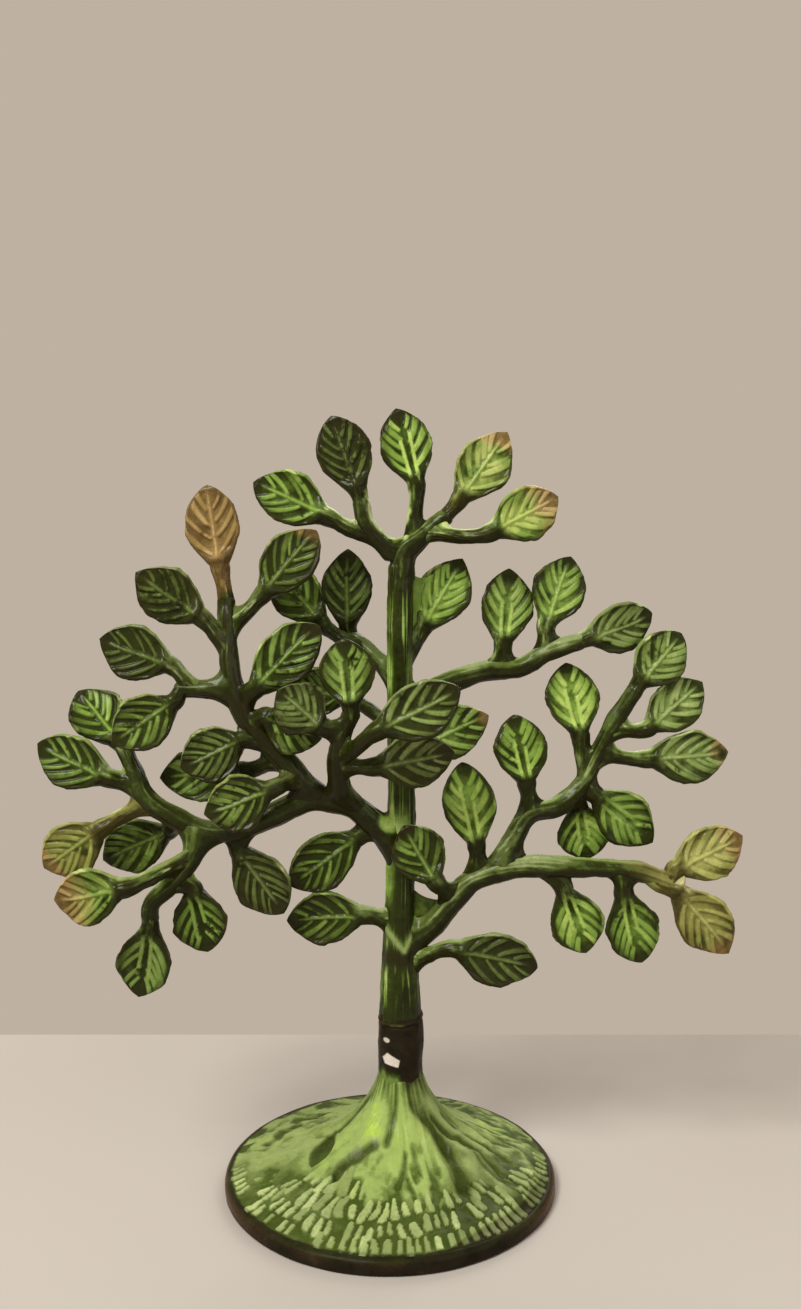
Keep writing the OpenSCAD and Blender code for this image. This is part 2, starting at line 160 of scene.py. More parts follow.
# How each leaf is painted, in the order of LEAF_GROUPS, in percent: how bright its strokes are,
# how grey they are, how tan the whole leaf is, how much from the tip is worn to tan, and how
# much of the ground between the strokes is brushed. Then 1 for a raised midrib, -1 for a groove
# Tone and grey are partly painted light and shade: shaded leaves have darker, greyer strokes and lit leaves
# brighter ones
LOOK_ROWS = [
    [72, 5, 0, 0, 50, 1], [40, 65, 0, 0, 12, 1], [98, 0, 0, 0, 20, -1], [89, 15, 22, 20, 95, 1],
    [100, 0, 10, 42, 100, 1], [50, 35, 0, 0, 55, 1], [42, 15, 0, 0, 55, 1], [80, 0, 0, 0, 85, 1],
    [45, 20, 0, 0, 40, 1], [56, 10, 100, 0, 30, 1], [48, 20, 6, 10, 22, 1], [36, 50, 10, 0, 18, 1],
    [62, 20, 0, 0, 32, 1], [60, 25, 0, 0, 35, 1], [45, 55, 0, 0, 20, 1], [80, 10, 0, 0, 50, 1],
    [58, 30, 5, 0, 15, 1], [38, 40, 3, 0, 20, 1], [50, 20, 4, 0, 28, 1], [76, 0, 0, 0, 15, 1],
    [58, 15, 0, 0, 30, 1], [62, 10, 45, 22, 85, 1], [58, 20, 2, 0, 60, 1], [48, 65, 5, 0, 15, 1],
    [52, 10, 0, 0, 22, 1], [68, 10, 10, 55, 75, 1], [74, 25, 0, 0, 45, -1], [58, 10, 0, 0, 22, -1],
    [79, 20, 0, 0, 55, -1], [53, 65, 0, 0, 45, 1], [69, 55, 2, 0, 22, 1], [53, 70, 8, 0, 30, 1],
    [77, 20, 0, 4, 60, 1], [50, 15, 3, 0, 20, 1], [42, 60, 2, 0, 25, 1], [50, 20, 0, 0, 20, 1],
    [92, 0, 0, 0, 80, -1], [95, 0, 0, 0, 60, -1], [82, 0, 0, 0, 60, -1], [83, 10, 47, 36, 95, 1],
    [70, 10, 54, 31, 80, 1], [86, 0, 0, 0, 35, -1], [100, 0, 0, 0, 80, -1], [85, 0, 0, 0, 85, -1],
    [72, 10, 0, 0, 80, -1], [87, 41, 0, 0, 78, 1], [85, 51, 0, 0, 83, 1], [81, 51, 0, 5, 73, 1],
    [87, 16, 0, 0, 63, -1], [87, 11, 0, 0, 68, 1], [77, 51, 0, 0, 68, 1],
]
Arm = namedtuple("Arm", "name carrier place points root_r end_r")
Leaf = namedtuple("Leaf", "node carrier place stem blade roll", defaults=[0])
Look = namedtuple("Look", "tone grey tan tip fill rib")
ARMS = {row[0]: Arm(*row) for row in ARM_ROWS}
LEAVES = []
for carrier, name, rows in LEAF_GROUPS:
    for row in rows:
        number = 1 + sum(leaf.node.startswith(name) for leaf in LEAVES)
        node = name + str(number) if name.endswith("_") else name
        LEAVES.append(Leaf(node, carrier, row[0], row[1:4], row[4:7], *row[7:]))
LOOKS = [Look(*(share / 100 for share in row[:5]), row[5]) for row in LOOK_ROWS]


# ---- numbers and curves
def unit(v):
    v = np.asarray(v, float)
    return v / np.linalg.norm(v, axis=-1, keepdims=True)


def xyz(points):
    return points[..., 0], points[..., 1], points[..., 2]


def heading(angle, lean):
    a, tilt = math.radians(angle), math.radians(lean)
    return np.array([math.cos(a) * math.cos(tilt), -math.sin(tilt), math.sin(a) * math.cos(tilt)])


def across(axis, normal):
    """The part of normal that stands across axis, as unit vectors."""
    return unit(normal - np.sum(normal * axis, -1, keepdims=True) * axis)


def ramp(low, high, x):
    """0 below low, 1 above high, and smooth between them."""
    t = np.clip((np.asarray(x, float) - low) / (high - low), 0, 1)
    return t * t * (3 - 2 * t)


def mix(a, b, share):
    return a + (b - a) * share


def bell(x, width):
    return np.exp(-(np.asarray(x) / width) ** 2)


def circle(count):
    """Angles all the way round, as one row."""
    return np.linspace(0, 2 * math.pi, count, endpoint=False)[None, :]


def around(angle, size, height):
    """Points on rings of one size, so that noise taken there closes up all the way round."""
    return np.stack([np.cos(angle) * size, np.sin(angle) * size, height + 0 * angle], -1)


# Odd factors that scatter the bits of a cell's place
SCATTER = (374761393, 668265263, 1103515245, 974634777, 1274126177)


def lattice(cell, seed):
    """A fixed pseudo-random number from -1 to 1 for each integer cell."""
    mask = 0xFFFFFFFF
    x, y, z = xyz(cell)
    h = (x * SCATTER[0] + y * SCATTER[1] + z * SCATTER[2] + seed * SCATTER[3]) & mask
    h = ((h ^ (h >> 13)) * SCATTER[4]) & mask
    h = ((h ^ (h >> 15)) * SCATTER[0]) & mask
    return ((h ^ (h >> 16)) & 0xFFFF) / 32767.5 - 1


def noise(p, seed=0):
    """Smooth noise from -1 to 1 at the points p."""
    p = np.asarray(p, float)
    base = np.floor(p).astype(np.int64)
    f = p - base
    f = f * f * (3 - 2 * f)
    total = 0
    for corner in range(8):
        step = np.array([corner & 1, corner >> 1 & 1, corner >> 2 & 1])
        weight = np.prod(np.where(step == 1, f, 1 - f), axis=-1)
        total = total + weight * lattice(base + step, seed)
    return total


def rough(p, seed=0, octaves=3):
    """Several octaves of noise, about -1 to 1."""
    p = np.asarray(p, float)
    return sum(noise(p * 2.03 ** k, seed + 11 * k) * 0.55 ** k for k in range(octaves)) / 1.35


def spline(points, t):
    """Points on the smooth curve through points, with t counted in points."""
    p = np.asarray(points, float)
    last = len(p) - 1
    t = np.atleast_1d(np.asarray(t, float))
    i = np.clip(np.floor(t).astype(int), 0, last - 1)
    u = (t - i)[:, None]
    a, b, c, d = p[np.maximum(i - 1, 0)], p[i], p[i + 1], p[np.minimum(i + 2, last)]
    return 0.5 * (2 * b + (c - a) * u + (2 * a - 5 * b + 4 * c - d) * u * u
                  + (3 * b - a - 3 * c + d) * u ** 3)


def spline_axis(points, t):
    t = np.atleast_1d(np.asarray(t, float))
    last = len(points) - 1
    return unit(spline(points, np.minimum(t + 0.1, last)) - spline(points, np.maximum(t - 0.1, 0)))


def from_line(px, py, points):
    """Distance of each place from a line of points, and its share of the way along."""
    nearest, share = np.full(px.shape, 1e9), np.zeros(px.shape)
    for k, ((ax, ay), (bx, by)) in enumerate(zip(points[:-1], points[1:])):
        dx, dy = bx - ax, by - ay
        t = np.clip(((px - ax) * dx + (py - ay) * dy) / (dx * dx + dy * dy), 0, 1)
        gap = np.hypot(px - ax - t * dx, py - ay - t * dy)
        share = np.where(gap < nearest, (k + t) / (len(points) - 1), share)
        nearest = np.minimum(nearest, gap)
    return nearest, share


def lengths(line):
    """Distance along a line of points from its first point."""
    return np.concatenate([[0], np.cumsum(np.linalg.norm(np.diff(line, axis=0), axis=1))])


# ---- where pieces are carried
SEAT_SHARE = 0.55
MIN_STEM_ANGLE = math.radians(60)


def trunk_r(height):
    return np.interp(height, *np.transpose(TRUNK_TAPER))


def arm_r(arm, t):
    return arm.root_r + (arm.end_r - arm.root_r) * t / len(arm.points)


def carrier_line(carrier):
    """Points, directions and radii along the middle of a carrier."""
    steps = 200
    if carrier == "trunk":
        z = np.linspace(0, TRUNK_TOP, steps)
        return z[:, None] * UP, np.repeat(UP[None], steps, 0), trunk_r(z)
    arm = ARMS[carrier]
    t = np.linspace(0, len(arm.points), steps)
    return spline(route(arm), t), spline_axis(route(arm), t), arm_r(arm, t)


def on_carrier(carrier, place):
    """Point, direction and radius at one place along a carrier."""
    if carrier == "trunk":
        return place * UP, UP, float(trunk_r(place))
    path = route(ARMS[carrier])
    return spline(path, place)[0], spline_axis(path, place)[0], arm_r(ARMS[carrier], place)


def at_end(carrier, place):
    return carrier != "trunk" and place == len(ARMS[carrier].points)


def seat(carrier, place):
    """How far a root starts from the middle of its carrier."""
    return 0 if at_end(carrier, place) else SEAT_SHARE * on_carrier(carrier, place)[2]


def node_of(arm_name):
    """The CAD node of an arm; the two arms of the top fork share one."""
    return "crown_fork" if arm_name.startswith("crown") else arm_name


def route(arm):
    root = on_carrier(arm.carrier, arm.place)[0]
    is_fused = node_of(arm.carrier) == node_of(arm.name)
    reach = 0 if is_fused else seat(arm.carrier, arm.place)
    return np.array([root + reach * unit(arm.points[0] - root)] + arm.points, float)


def stem_axis(leaf):
    """The direction in which a leaf's stem leaves its carrier."""
    d = heading(*leaf.stem[:2])
    if at_end(leaf.carrier, leaf.place):
        return d
    a = on_carrier(leaf.carrier, leaf.place)[1]
    along = float(d @ a)
    if abs(along) <= math.cos(MIN_STEM_ANGLE):
        return d
    return unit(np.sign(along) / math.tan(MIN_STEM_ANGLE) * a + across(a, d))


# ---- meshes
def new_piece(node, parts, material, masks):
    """One object from parts, each a dict of verts in mm, faces and mask values."""
    name = "clay_" + node
    verts = np.concatenate([p["verts"] for p in parts])
    starts = np.cumsum([0] + [len(p["verts"]) for p in parts])
    quads = np.concatenate([p["quads"] + s for p, s in zip(parts, starts)])
    tris = np.concatenate([p["tris"] + s for p, s in zip(parts, starts)])
    loops = np.concatenate([quads.ravel(), tris.ravel()])
    totals = np.concatenate([np.full(len(quads), 4), np.full(len(tris), 3)])
    loop_starts = np.concatenate([[0], np.cumsum(totals)[:-1]])
    mesh = bpy.data.meshes.new(name)
    mesh.vertices.add(len(verts))
    mesh.vertices.foreach_set("co", ((verts + [TRUNK_X, 0, 0]) * MM).astype(np.float32).ravel())
    mesh.loops.add(len(loops))
    mesh.loops.foreach_set("vertex_index", loops.astype(np.int32))
    mesh.polygons.add(len(totals))
    mesh.polygons.foreach_set("loop_start", loop_starts.astype(np.int32))
    mesh.polygons.foreach_set("loop_total", totals.astype(np.int32))
    mesh.polygons.foreach_set("use_smooth", np.ones(len(totals), bool))
    for mask in masks:
        values = np.concatenate([p[mask] for p in parts]).astype(np.float32)
        mesh.attributes.new(mask, "FLOAT", "POINT").data.foreach_set("value", np.clip(values, 0, 1))
    mesh.update(calc_edges=True)
    mesh.validate()
    mesh.materials.append(material)
    piece = bpy.data.objects.new(name, mesh)
    bpy.context.scene.collection.objects.link(piece)
    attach(piece, BODY)
    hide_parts(node)


def skin(rings):
    """Verts and outward faces of a closed tube through rings, an array (rings, points, 3)."""
    count, sides = rings.shape[:2]
    k, i = np.meshgrid(np.arange(count - 1), np.arange(sides), indexing="ij")
    j = (i + 1) % sides
    quads = np.stack([k * sides + i, k * sides + j, (k + 1) * sides + j, (k + 1) * sides + i], -1)
    here, ahead, end = i[0], j[0], (count - 1) * sides
    first, last = np.full(sides, count * sides), np.full(sides, count * sides + 1)
    tris = [np.stack([here + end, ahead + end, last], -1), np.stack([ahead, here, first], -1)]
    verts = np.concatenate([rings.reshape(-1, 3), rings[0].mean(0)[None], rings[-1].mean(0)[None]])
    quads, tris = quads.reshape(-1, 4), np.concatenate(tris)
    a, b, c = (verts[k] for k in np.concatenate([quads[:, :3], quads[:, [0, 2, 3]], tris]).T)
    if np.sum(a * np.cross(b, c)) < 0:
        quads, tris = quads[:, ::-1], tris[:, ::-1]
    return {"verts": verts, "quads": quads, "tris": tris}


def with_masks(part, **masks):
    """Adds per-point masks given for the rings, and repeats the end rings' means at the caps."""
    for name, value in masks.items():
        part[name] = np.concatenate([value.ravel(), [value[0].mean(), value[-1].mean()]])
    return part


# ---- materials
# Brown-black of leaf rims and grooves, also used for painted shade
BROWN = (0.020, 0.016, 0.004)
# Colour ramps: place, red, green and blue of each stop, in thousandths
GREENS = [[0, 12, 13, 1], [220, 21, 32, 2], [450, 70, 114, 14], [700, 180, 298, 48], [1000, 410, 550, 130]]
GREYS = [[0, 13, 13, 2], [250, 32, 38, 8], [500, 94, 118, 36], [750, 220, 270, 115], [1000, 500, 560, 310]]
TANS = [[0, 30, 18, 6], [350, 100, 62, 18], [700, 260, 172, 58], [1000, 460, 330, 150]]
MOSS = [[0, 18, 23, 3], [300, 64, 104, 14], [550, 170, 248, 60], [800, 310, 430, 115], [1000, 400, 590, 70]]
# the rim mask holds brown rims and painted shade
CLAY_MASKS = ("paint", "grey", "worn", "rim")
# the chip mask holds the white chip and a painted highlight
GLAZE_MASKS = ("paint", "worn", "chip")


class Nodes:
    """The node tree of one new material, with a short call for each kind of node used."""

    def __init__(self, name, roughness):
        self.material = bpy.data.materials.new(name)
        self.material.use_nodes = True
        self.tree = self.material.node_tree
        self.surface = self.tree.nodes["Principled BSDF"]
        self.surface.inputs["Roughness"].default_value = roughness
        self.surface.inputs["Specular IOR Level"].default_value = 0.04
        self.surface.inputs["Coat Roughness"].default_value = 0.22

    def put(self, socket, value):
        """Links a socket to another one, or sets it to a number, a list or a colour."""
        if isinstance(value, bpy.types.NodeSocket):
            self.tree.links.new(value, socket)
        else:
            socket.default_value = (*value, 1) if isinstance(value, tuple) else value

    def add(self, kind, **values):
        """A new node, with the sockets that are named linked or set."""
        node = self.tree.nodes.new("ShaderNode" + kind)
        for name, value in values.items():
            self.put(node.inputs[name], value)
        return node

    def math(self, operation, *values, clamp=False):
        node = self.add("Math")
        node.operation, node.use_clamp = operation, clamp
        for socket, value in zip(node.inputs, values):
            self.put(socket, value)
        return node.outputs[0]

    def mask(self, name):
        node = self.add("Attribute")
        node.attribute_name = name
        return node.outputs["Fac"]

    def noise(self, scale, detail=4.0, roughness=0.6, offset=0.0, z_scale=1.0):
        place = self.add("TexCoord").outputs["Object"]
        moved = self.add("Mapping", Vector=place, Scale=[1, 1, z_scale], Location=[offset] * 3)
        return self.add("TexNoise", Vector=moved.outputs["Vector"], Scale=scale, Detail=detail,
                        Roughness=roughness).outputs["Fac"]

    def ramp(self, value, stops):
        node = self.add("ValToRGB", Fac=value)
        node.color_ramp.interpolation = "EASE"
        elements = node.color_ramp.elements
        while len(elements) < len(stops):
            elements.new(0.5)
        for element, stop in zip(elements, stops):
            element.position = stop[0] / 1000
            element.color = (*(part / 1000 for part in stop[1:]), 1)
        return node.outputs["Color"]

    def blend(self, share, a, b):
        node = self.add("Mix")
        node.data_type = "RGBA"
        for place, value in ((0, share), (6, a), (7, b)):
            self.put(node.inputs[place], value)
        return node.outputs[2]

    def bump(self, height, strength, distance):
        node = self.add("Bump", Height=height, Strength=strength, Distance=distance)
        self.put(self.surface.inputs["Normal"], node.outputs["Normal"])

    def finish(self, color, roughness):
        self.put(self.surface.inputs["Base Color"], color)
        self.put(self.surface.inputs["Roughness"], roughness)
        return self.material


def painted_clay(name, greens, roughness, coat):
    """Dry-brushed paint: masks say where the brush touched and where light and shade are painted, noise
    breaks it up.
    """
    n = Nodes(name, roughness)
    n.surface.inputs["Coat Weight"].default_value = coat
    grey, worn, rim = n.mask("grey"), n.mask("worn"), n.mask("rim")
    blotch = n.noise(260.0, 3.0)
    grain = n.noise(1500.0, 4.0, 0.7, offset=3.0)
    level = n.math("MULTIPLY_ADD", blotch, 0.34, -0.17)
    level = n.math("ADD", n.mask("paint"), level)
    level = n.math("ADD", level, n.math("MULTIPLY_ADD", grain, 0.24, -0.12), clamp=True)
    color = n.blend(grey, n.ramp(level, greens), n.ramp(level, GREYS))
    tan = n.ramp(n.math("MULTIPLY_ADD", level, 0.9, 0.10), TANS)
    ragged = n.math("MULTIPLY", n.math("MULTIPLY_ADD", grain, 0.6, -0.3), worn)
    color = n.blend(n.math("ADD", worn, ragged, clamp=True), color, tan)
    # brown on rims and grooves, and painted shade under limbs and stems and in the trunk's V
    brown = n.math("MULTIPLY", rim, n.math("MULTIPLY_ADD", grain, 0.8, 0.55), clamp=True)
    color = n.blend(brown, color, BROWN)
    pores = n.noise(700.0, 5.0, 0.65, offset=7.0)
    n.bump(n.math("ADD", pores, n.math("MULTIPLY", grain, 0.4)), 0.30, 0.0003)
    return n.finish(color, n.math("MULTIPLY_ADD", blotch, 0.30, roughness - 0.15))


def dark_glaze(name):
    """Near-black brown varnish with moss paint, brown rubbed edges and pale chips, also used for painted
    highlights and a reflection.
    """
    n = Nodes(name, 0.2)
    worn, chip, moss = n.mask("worn"), n.mask("chip"), n.mask("paint")
    blotch = n.noise(140.0)
    grain = n.noise(1200.0, 4.0, 0.7, offset=5.0)
    base = n.ramp(blotch, [[300, 10, 9, 5], [550, 18, 14, 8], [800, 38, 28, 14]])
    rubbed = n.ramp(grain, [[300, 80, 38, 14], [700, 210, 110, 45]])
    color = n.blend(worn, base, rubbed)
    level = n.math("ADD", moss, n.math("MULTIPLY_ADD", blotch, 0.4, -0.2))
    color = n.blend(n.math("MULTIPLY", moss, 1.6, clamp=True), color, n.ramp(level, MOSS))
    clay = n.ramp(grain, [[200, 600, 540, 480], [800, 800, 750, 700]])
    color = n.blend(chip, color, clay)
    gloss = n.math("MULTIPLY_ADD", grain, 0.24, 0.16)
    gloss = n.math("MULTIPLY_ADD", chip, 0.45, gloss)
    gloss = n.math("MULTIPLY_ADD", moss, 0.25, gloss)
    n.bump(n.noise(420.0, 5.0, offset=9.0), 0.25, 0.0004)
    return n.finish(color, gloss)


def steel(name):
    n = Nodes(name, 0.35)
    n.surface.inputs["Metallic"].default_value = 1.0
    streaks = n.noise(900.0, 3.0, z_scale=0.05)
    color = n.ramp(streaks, [[300, 380, 370, 360], [700, 620, 610, 600]])
    return n.finish(color, n.math("MULTIPLY_ADD", streaks, 0.3, 0.2))


def paper(name):
    n = Nodes(name, 0.85)
    fibres = n.noise(3.0, 3.0, 0.5)
    color = n.ramp(fibres, [[300, 500, 470, 440], [700, 530, 500, 470]])
    return n.finish(color, 0.85)


LEAF_PAINT = painted_clay("leaf_paint", GREENS, 0.38, 0.2)
BARK_PAINT = painted_clay("bark_paint", GREENS, 0.36, 0.24)
MOSS_PAINT = painted_clay("moss_paint", MOSS, 0.46, 0.08)
GLAZE = dark_glaze("dark_glaze")
STEEL = steel("rod_steel")


# ---- tubes and their joints
ROOT_RINGS = 46


def spread_root(rings, outward, carrier, size):
    """Draws a tube's root out along its carrier in a round fillet that lies on its surface."""
    middle, axis, radius = carrier_line(carrier)

    def nearest(points):
        gaps = np.linalg.norm(points[..., None, :] - middle, axis=-1)
        return np.argmin(gaps, axis=-1), np.min(gaps, axis=-1)

    near = rings[:ROOT_RINGS]
    k, gap = nearest(near)
    beyond = np.clip((gap - 0.93 * radius[k]) / size, 0, 1)
    reach = size * (1 - np.sqrt(np.clip(1 - (1 - beyond) ** 2, 0, 1)))
    reach = reach * ramp(0.25, 0.75, gap / radius[k])
    lean = np.sum(outward[:ROOT_RINGS] * axis[k], -1)
    run = lengths(middle)
    shift = np.clip(lean * reach, -run[k], run[-1] - run[k])
    moved = near + shift[..., None] * axis[k]
    away = moved - middle[nearest(moved)[0]]
    away = away - np.sum(away * axis[k], -1, keepdims=True) * axis[k]
    away_r = np.linalg.norm(away, axis=-1)
    held = ramp(0.5, 0.9, gap / radius[k]) * ramp(0.0, 0.3, reach / size)
    moved = moved + (held * (gap - away_r) / np.maximum(away_r, 0.5))[..., None] * away
    return np.concatenate([moved, rings[ROOT_RINGS:]])


def round_start(line, way, radius):
    """Adds the rings of a hemisphere before the first point of a tube."""
    turn = np.radians(np.linspace(84, 12, 7))
    extra = line[0] - (radius[0] * np.sin(turn))[:, None] * way[0]
    return (np.concatenate([extra, line]), np.concatenate([np.repeat(way[:1], len(turn), 0), way]),
            np.concatenate([radius[0] * np.cos(turn), radius]))


# Middle of the hollow between the two arms of the top fork, and the middle of the crown, where shade is
# painted
FORK_X, FORK_Z = -3, 259
SHADE_X, SHADE_Z = -38, 168


def bark_masks(points, outward, groove, tone):
    """Limb and stem masks: painted light on tops and in the fork, painted brown-black shade below and
    mid-crown.
    """
    x, _, z = xyz(points)
    out_x, out_y, out_z = xyz(outward)
    patch = rough(points * 0.07, 23)
    fine = rough(points * 0.55, 29)
    # painted shade: limbs and stems get darker towards the middle of the crown
    out_of_crown_shade = ramp(30, 75, np.hypot(x - SHADE_X, z - SHADE_Z))
    tone = tone * (0.35 + 0.65 * out_of_crown_shade)
    # painted light: brighter on faces turned up, to the front and to the left
    light = 0.80 * out_z - 0.42 * out_y - 0.20 * out_x
    light = light + 0.45 * groove + 0.40 * patch + 0.20 * fine
    paint = 0.03 + (0.20 + 0.50 * tone) * ramp(0.10, 1.15, light)
    # pale streaks along the grooves, kept to upward faces as painted light
    lines = ramp(0.35, 0.75, groove + 0.3 * patch) * ramp(-0.5, 0.4, out_z + 0.4 * patch)
    paint = np.maximum(paint, 0.06 + (0.26 + 0.72 * tone) * lines)
    # painted highlight on the tops
    top_light = ramp(0.35, 0.95, out_z + 0.25 * patch + 0.20 * groove)
    top_highlight = 0.42 + 0.55 * tone + 0.15 * ramp(225, 245, z)
    paint = np.maximum(paint, top_highlight * top_light * (0.55 + 0.45 * out_of_crown_shade))
    # painted highlight on the inner curves of the top fork
    far = np.hypot(FORK_X - x, FORK_Z - z)
    inner = ((FORK_X - x) * out_x + (FORK_Z - z) * out_z) / far
    inner = ramp(0.25, 0.85, inner + 0.2 * fine) * ramp(17, 12, far)
    paint = np.maximum(paint, 0.92 * inner)
    grey = np.clip(0.45 + 0.40 * patch + 0.25 * lines + 0.2 * top_light + 0.3 * inner, 0, 0.9)
    # painted shade: brown-black on the undersides, more of it in the middle of the crown
    brown = (0.85 - 0.25 * out_of_crown_shade) * ramp(0.05, -0.75, out_z + 0.3 * patch)
    return paint, grey, brown


# ---- leaves
# How brightly the bark of a limb or stem is brushed
PLAIN_TONE = 0.65
LIMB_TONES = {"upper_left_limb": 0.35, "back_limb": 1.1}
STEM_RINGS, BLADE_RINGS = 40, 118
FRONT_POINTS, BACK_POINTS = 71, 25
STROKE_BEND = 0.018
LEAF_SEED = 500


def press_strokes(side_x, along, half, length, look, rng):
    """Veins pressed into a blade: how high they stand and how brightly they are brushed."""
    lift, brush = np.zeros_like(side_x), np.zeros_like(side_x)
    for side in (-1, 1):
        count = int(rng.integers(4, 6))
        for k in range(count):
            place = (k + 0.3 + 0.3 * rng.uniform() + 0.2 * (side > 0)) / count
            angle = math.radians(58 - 24 * place + rng.uniform(-6, 6))
            wide = 0.64 + 0.50 * look.tone + rng.uniform(-0.24, 0.24)
            reach = rng.uniform(0.82, 1.06) - 0.10 * place
            strength = rng.uniform(0.55, 1.0)
            dx, dy = side * math.sin(angle), math.cos(angle)
            rx, ry = side_x - side * 0.9, along - length * (0.05 + 0.70 * place)
            forward = rx * dx + ry * dy
            beside = rx * dy - ry * dx + side * STROKE_BEND * forward * np.abs(forward)
            body = ramp(1.25, 0.55, np.abs(beside) / (wide * (0.75 + 0.06 * np.clip(forward, 0, 8))))
            ends = ramp(-0.5, 0.9, forward) * ramp(reach + 0.06, reach - 0.10, np.abs(side_x) / half)
            lift = np.maximum(lift, body * ends)
            fading = 1 - 0.5 * ramp(0.35, 1.0, np.abs(side_x) / half) * rng.uniform(0.4, 1)
            brush = np.maximum(brush, body * ends * strength * fading)
    u = along / length
    if look.rib > 0:
        ridge = bell(side_x, 1.0 - 0.35 * u) * ramp(0.95, 0.72, u)
        lift, brush = np.maximum(lift, 1.2 * ridge), np.maximum(brush, 0.95 * ridge)
    else:
        for side in (-1, 1):
            stop = rng.uniform(0.55, 0.82)
            flank = ramp(1.2, 0.6, np.abs(side_x - side * (1.35 + 1.2 * u)) / 0.85)
            flank = flank * ramp(stop, stop - 0.1, u)
            lift, brush = np.maximum(lift, flank), np.maximum(brush, flank)
        slot = bell(side_x, 0.5) * ramp(0.9, 0.75, u)
        lift, brush = lift * (1 - slot) - 0.5 * slot, brush * (1 - slot)
    return lift, brush


